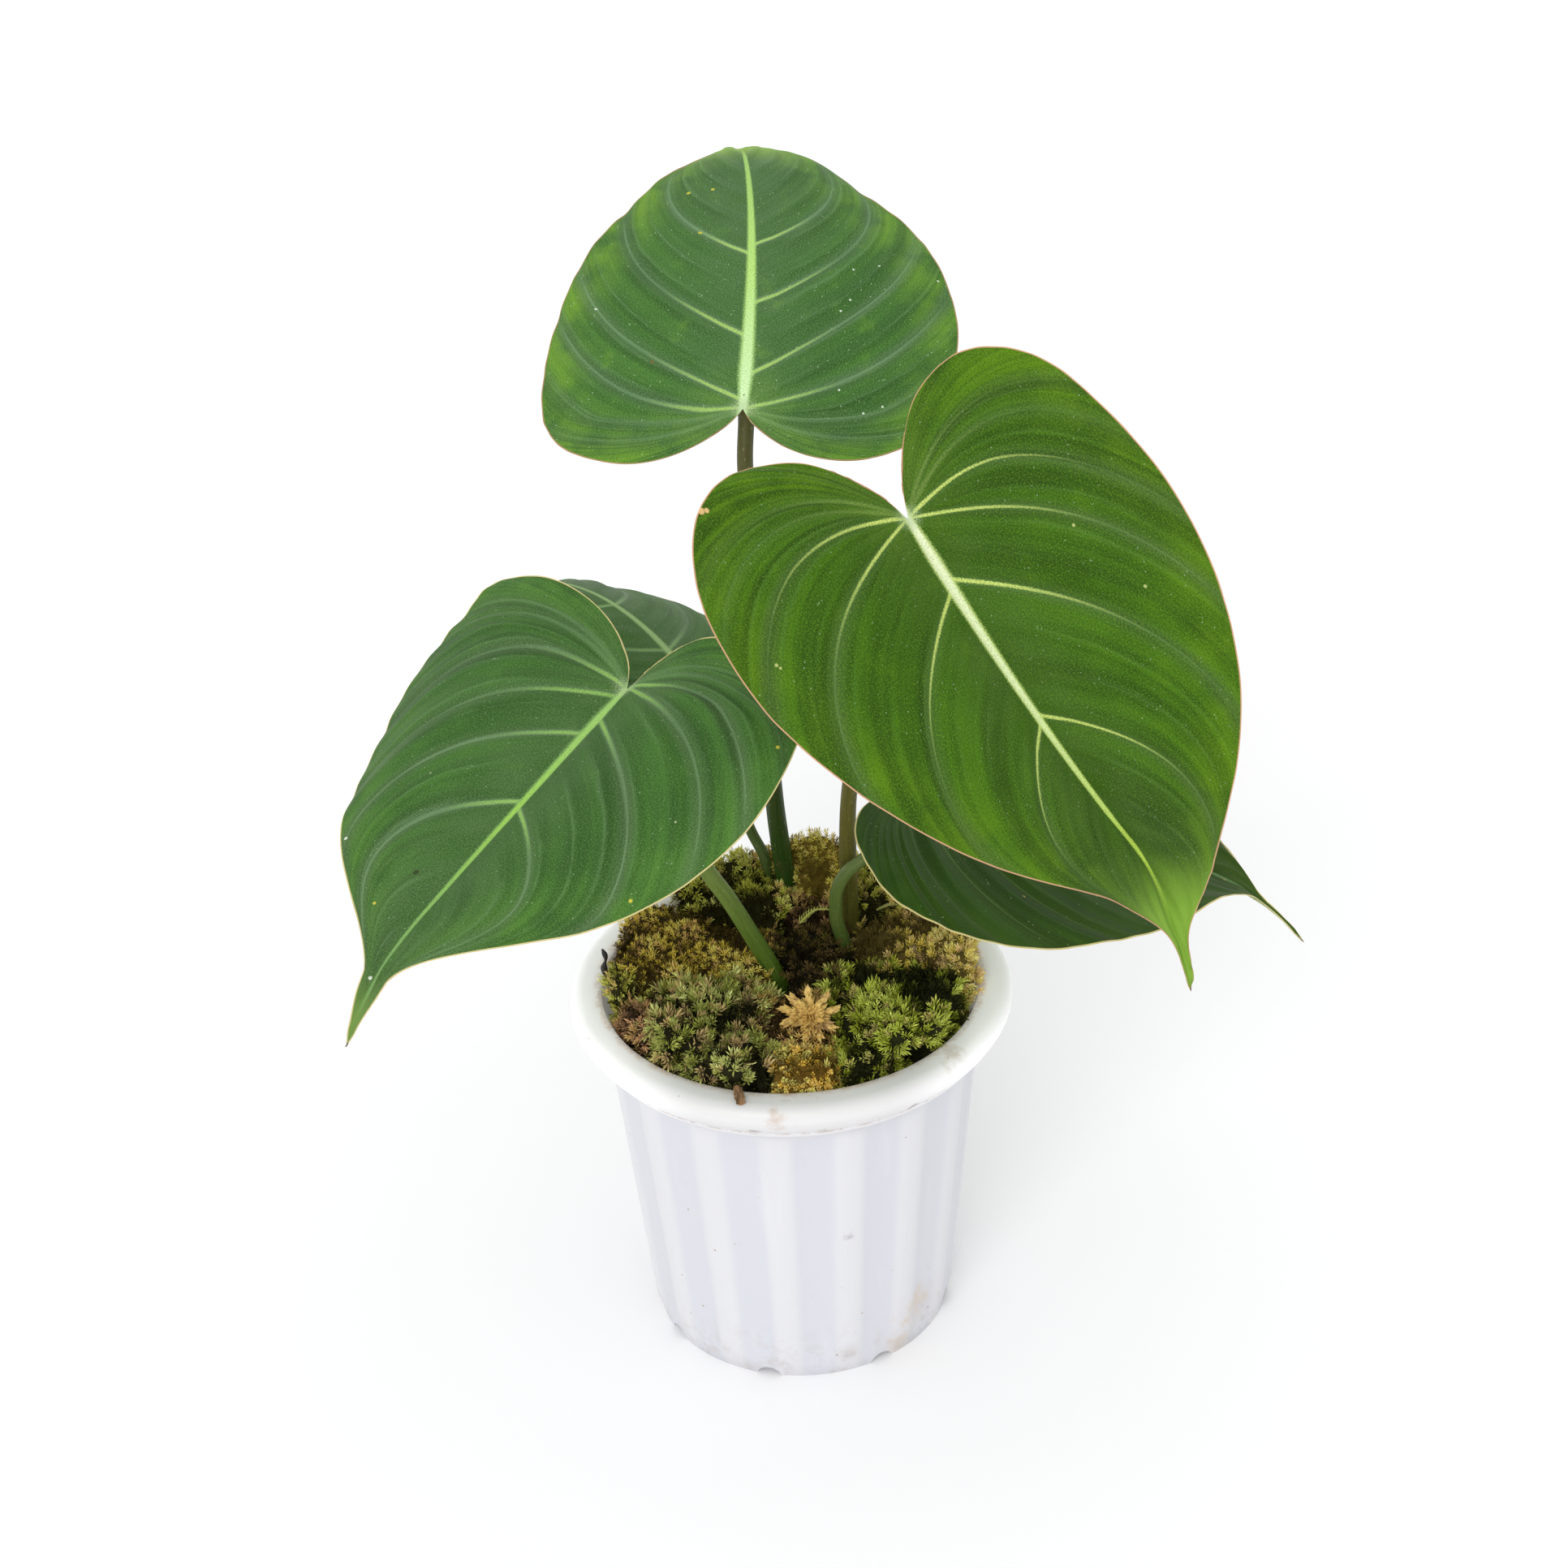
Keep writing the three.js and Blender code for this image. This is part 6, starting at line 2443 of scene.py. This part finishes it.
LEAVES = (
    LeafShape(
        name="front_right", sinus=(35.5, -30, 273.5), heading=-51, pitch=-42, roll=25, length=150, width=0.91,
        lobe=0.8, bend=63, tip_bend=7, lobe_droop=20, fold=34, tip_fold=7, curl=29, sweep=0.19, droop=0.19,
        taper=-0.15, taper_skew=-0.23, fullness=-0.02,
        route=((14, 16, 98), (17.5, 19, 110), (18.2, 20, 119), (18, 10, 148), (18.8, 0, 174.5),
               (24.4, -8, 216), (31, -23, 255)),
        stalk=(2.9, 2.2, 1.9), veins_left=(0.43, 0.488, 0.548, 0.607, 0.687, 0.804),
        veins_right=(0.43, 0.48, 0.537, 0.607, 0.697, 0.81), seed=1.3,
        finish=FRONT_RIGHT_FINISH,
        skin=StalkFinish(
            (0.1, 0.1, 0.015), (0.13, 0.12, 0.025), (0.11, 0.11, 0.03), (0.22, 0.18, 0.05), 0.3
        ),
        drip=((0, 0.3), (0.004, 0.5), (0.009, 1.5), (0.03, 0.78), (0.06, 0.54), (0.078, 0.56), (0.1, 0.66),
              (0.13, 0.82), (0.16, 0.93), (0.2, 1)),
    ),
    LeafShape(
        name="front_left", sinus=(-39.5, -30, 227.5), heading=-131, pitch=-19, roll=2, length=143, width=0.97,
        lobe=0.72, bend=17, tip_bend=64, lobe_droop=-46, fold=28, tip_fold=-17, curl=56, sweep=-0.12,
        droop=-0.13, taper=0.08, taper_skew=-0.25, fullness=-0.15,
        route=((1, -3, 98), (-1.8, -2, 108), (-5.4, -2, 118), (-10.7, -4, 131), (-16.5, -8, 146),
               (-22.1, -12, 159), (-32.2, -22, 197)),
        stalk=(2.8, 2.4, 2.0), veins_left=(0.43, 0.48, 0.539, 0.595, 0.667, 0.77),
        veins_right=(0.42, 0.471, 0.566, 0.632, 0.688, 0.764), seed=4.1,
        finish=FRONT_LEFT_FINISH,
        skin=StalkFinish(
            (0.058, 0.135, 0.004), (0.16, 0.23, 0.045), (0.18, 0.21, 0.09), (0.24, 0.29, 0.09), 0.1
        ),
        drip=((0, 0.25), (0.03, 0.08), (0.06, 0.06), (0.09, 0.08), (0.12, 0.22), (0.15, 0.42), (0.2, 0.68),
              (0.25, 0.95), (0.3, 1)),
    ),
    LeafShape(
        name="top", sinus=(-6, 40, 274.5), heading=82, pitch=34, roll=-3, length=146, width=0.89, lobe=0.51,
        bend=42, tip_bend=6, lobe_droop=18, fold=3, tip_fold=-6, curl=19, sweep=0.15, droop=0.04, taper=-0.28,
        taper_skew=0.13, fullness=0,
        route=((2, 38, 98), (1.2, 38, 108), (0.3, 38, 118.4), (-1.1, 38.5, 134), (-2.2, 39, 148),
               (-4.3, 40, 210), (-6, 40, 258)),
        stalk=(3.1, 2.6, 2.3), veins_left=(0.43, 0.511, 0.574, 0.627, 0.707, 0.798),
        veins_right=(0.43, 0.515, 0.591, 0.661, 0.743, 0.808), seed=2.6,
        finish=TOP_FINISH,
        skin=StalkFinish(
            (0.016, 0.07, 0.004), (0.05, 0.065, 0.01), (0.085, 0.08, 0.024), (0.09, 0.11, 0.025), 0.45
        ),
    ),
    LeafShape(
        name="low_right", sinus=(39, -0.5, 174.5), heading=15, pitch=-25, roll=14, length=142, width=0.85,
        lobe=0.92, bend=9, tip_bend=7, lobe_droop=7, fold=13, tip_fold=10, curl=25, sweep=0, droop=0.06,
        taper=-0.19, taper_skew=-0.37, fullness=-0.05,
        route=((12, 5, 98), (16, 7.5, 108), (16, 8, 117.3), (14, 7, 128), (14.7, 6, 138.4), (17.9, 5, 145),
               (21.9, 4, 149), (30.8, 1, 161.2)),
        stalk=(2.4, 1.9, 1.6), seed=3.3,
        finish=LOW_RIGHT_FINISH,
        skin=StalkFinish(
            (0.036, 0.07, 0.006), (0.1, 0.15, 0.03), (0.14, 0.18, 0.06), (0.22, 0.26, 0.08), 0.15, 0.36
        ),
        drip=((0, 0.5), (0.03, 0.6), (0.06, 0.32), (0.09, 0.25), (0.12, 0.2), (0.15, 0.25), (0.2, 0.62),
              (0.25, 0.9), (0.3, 1)),
    ),
    LeafShape(
        name="back_left", sinus=(-24.5, 60, 178.5), heading=122, pitch=22, roll=8, length=118, width=0.82,
        lobe=1, bend=61, tip_bend=5, lobe_droop=10, fold=-8, tip_fold=0, curl=25, sweep=0, droop=0.04,
        taper=0, taper_skew=0, fullness=0,
        route=((-3.6, 42.2, 98), (-5, 42.3, 110), (-5, 41.5, 121), (-6.2, 42, 128), (-9.9, 46, 135),
               (-16.2, 53, 156)),
        stalk=(2.0, 1.6, 1.4), seed=5.7,
        finish=BACK_LEFT_FINISH,
        skin=StalkFinish((0.05, 0.09, 0.012), (0.08, 0.12, 0.025), (0.11, 0.14, 0.04), (0.16, 0.2, 0.06)),
    ),
)

OLIVE = MossFinish((0.06, 0.038, 0.008), (0.8, 0.6, 0.075), (1.0, 0.92, 0.28), (0.78, 0.5, 0.17), 0.14)
GREEN = MossFinish((0.014, 0.016, 0.003), (0.36, 0.42, 0.03), (0.86, 0.94, 0.2), (0.6, 0.5, 0.16), 0.1)
STRAW = MossFinish((0.05, 0.028, 0.009), (0.5, 0.3, 0.08), (0.92, 0.66, 0.22), (0.52, 0.32, 0.14), 0.1)
GOLD = MossFinish((0.16, 0.09, 0.012), (0.95, 0.6, 0.07), (1.0, 0.9, 0.42), (0.8, 0.72, 0.2), 0.3)
TAN = MossFinish((0.12, 0.084, 0.02), (0.96, 0.76, 0.14), (1.0, 0.96, 0.46), (0.96, 0.68, 0.3), 0.2)
BROWN = MossFinish((0.03, 0.016, 0.006), (0.54, 0.33, 0.1), (0.92, 0.74, 0.34), (0.7, 0.4, 0.2), 0.4)
BLUE = MossFinish((0.014, 0.014, 0.004), (0.38, 0.41, 0.07), (0.9, 0.94, 0.36), (0.64, 0.46, 0.2), 0.22)
FRESH = MossFinish((0.026, 0.024, 0.005), (0.66, 0.66, 0.09), (1.0, 1.0, 0.34), (0.84, 0.62, 0.22), 0.14)
AMBER = MossFinish((0.2, 0.14, 0.022), (1.0, 0.84, 0.12), (1.0, 0.96, 0.42), (0.84, 0.6, 0.16), 0.15)
DULL = MossFinish((0.01, 0.007, 0.002), (0.09, 0.07, 0.01), (0.27, 0.22, 0.05), (0.15, 0.095, 0.032), 0.28)

FRONT_ROSETTE = Crown(Habit.ROSETTE, (5.1, -28.2, 117.2), (0.0, -0.42, 0.9), 1.35)
FRONT_FROND = Crown(Habit.FEATHER, (-18.5, -43.5, 115.5), (0.62, -0.7, 0.05), 1.9)
LEFT_FROND = Crown(Habit.FEATHER, (-31, -18, 121.5), (-0.2, -0.9, 0.15), 1.7)

MOSSES = (
    MossCushion("moss_left", OLIVE, (Growth(Habit.BRUSH, 1.3, 0.75), Growth(Habit.STRAND, 4, 0.8)), 11),
    MossCushion("moss_back_left", FRESH, (Growth(Habit.BRUSH, 1.7, 1.1, 2),), 12),
    MossCushion("moss_back", AMBER, (Growth(Habit.BRUSH, 1.2, 0.85),), 13),
    MossCushion("moss_back_right", FRESH, (Growth(Habit.TUFT, 1.8, 0.7, 2),), 14),
    MossCushion("moss_middle_back", BROWN, (Growth(Habit.BRUSH, 1.5, 0.9), Growth(Habit.TUFT, 5, 0.8)), 15),
    MossCushion("moss_right", TAN, (Growth(Habit.TUFT, 1.8, 0.72, 2, 0.4, 0.25),), 16),
    MossCushion("moss_centre", DULL, (Growth(Habit.BRUSH, 1.5, 0.9), Growth(Habit.TUFT, 4, 0.75, 2)), 17),
    MossCushion("moss_front_right", GREEN, (Growth(Habit.TUFT, 1.9, 0.85, 2, 0.45, 0.3),), 18),
    MossCushion("moss_right_edge", TAN, (Growth(Habit.TUFT, 1.7, 0.75, 2),), 19),
    MossCushion("moss_front_low", GREEN, (Growth(Habit.TUFT, 1.8, 0.8, 2, 0.45, 0.3),), 20),
    MossCushion(
        "moss_straw_rosette", STRAW, (Growth(Habit.BRUSH, 1.6, 1.0), Growth(Habit.TUFT, 3.4, 0.8, 1, 0.8)),
        21, FRONT_ROSETTE,
    ),
    MossCushion("moss_golden", GOLD, (Growth(Habit.BUD, 1.1, 1.1), Growth(Habit.TUFT, 3.6, 0.7, 1, 0.6)), 22),
    MossCushion("moss_front_left", BLUE, (Growth(Habit.TUFT, 1.9, 0.85, 2, 0.6, 0.3),), 23, FRONT_FROND),
    MossCushion("moss_blue_green", BLUE, (Growth(Habit.TUFT, 1.9, 0.95, 2, 0.6, 0.3),), 24, LEFT_FROND),
    MossCushion("moss_brown_edge", BROWN, (Growth(Habit.BRUSH, 1.4, 0.9), Growth(Habit.STRAND, 4, 0.9)), 25),
    MossCushion("moss_left_edge", FRESH, (Growth(Habit.STRAND, 1.5, 0.8), Growth(Habit.BRUSH, 1.8, 0.9)), 26),
    MossCushion("moss_far_left", OLIVE, (Growth(Habit.BRUSH, 1.4, 0.9),), 27),
)

SPRIGS = (
    Sprig("fern_sprig", ((3.4, 21, 117.1), (8, 24, 119.6), (13, 25.2, 118.9)), FRESH, 12, 2.6, 31),
    Sprig("pale_sprig", ((26.4, 24.8, 118.2), (30, 23.8, 120.3), (34.8, 26.2, 119)), BLUE, 10, 2.0, 32),
)


class PottedPlant:
    """The whole plant: builds its pieces in order and hands each to the frame."""

    def __init__(self, nodes: dict[str, Piece]) -> None:
        """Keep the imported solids."""
        self.nodes = nodes

    def _add(self, piece: Piece, node: str) -> None:
        """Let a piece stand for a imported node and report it.

        Args:
            piece: The modelled piece.
            node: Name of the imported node.
        """
        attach(piece, BODY)
        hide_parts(node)
        LOG.info("%s for %s: %d faces", piece.name, node, len(piece.data.polygons))

    def build(self) -> None:
        """Build the pot, the leaves, the moss and the small scraps."""
        pot = PotShell()
        stem = CreepingStem()
        self._add(pot.build(), "pot")
        self._add(PottingMix().build(pot, stem.route), "potting_mix")
        self._add(stem.build(), "creeping_stem")
        self._leaves()
        self._moss()
        self._add(RootTip().build(), "black_root_tip")
        self._add(SeedHusk().build(), "seed_husk")
        self._add(DryFlake().build(), "dry_flake")

    def _leaves(self) -> None:
        """Build the five leaves."""
        plan = VeinPlan()
        for shape in LEAVES:
            blade = Blade(shape, plan)
            self._add(blade.build(), f"blade_{shape.name}")
            self._add(Petiole(blade).build(), f"petiole_{shape.name}")

    def _moss(self) -> None:
        """Build the cushions and the sprigs on them."""
        kit = SproutKit(np.random.default_rng(7))
        kits = {habit: kit.make(habit) for habit in Habit}
        for cushion in MOSSES:
            self._add(cushion.build(self.nodes[cushion.name], kits), cushion.name)
        for sprig in SPRIGS:
            self._add(sprig.build(kit), sprig.name)


def main() -> None:
    """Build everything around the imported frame."""
    logging.basicConfig(level=logging.INFO, format="%(name)s %(message)s")
    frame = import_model()
    Studio().build()
    PottedPlant(frame["nodes"]).build()
    rest_tools()
    bpy.context.view_layer.update()


if __name__ == "__main__":
    main()
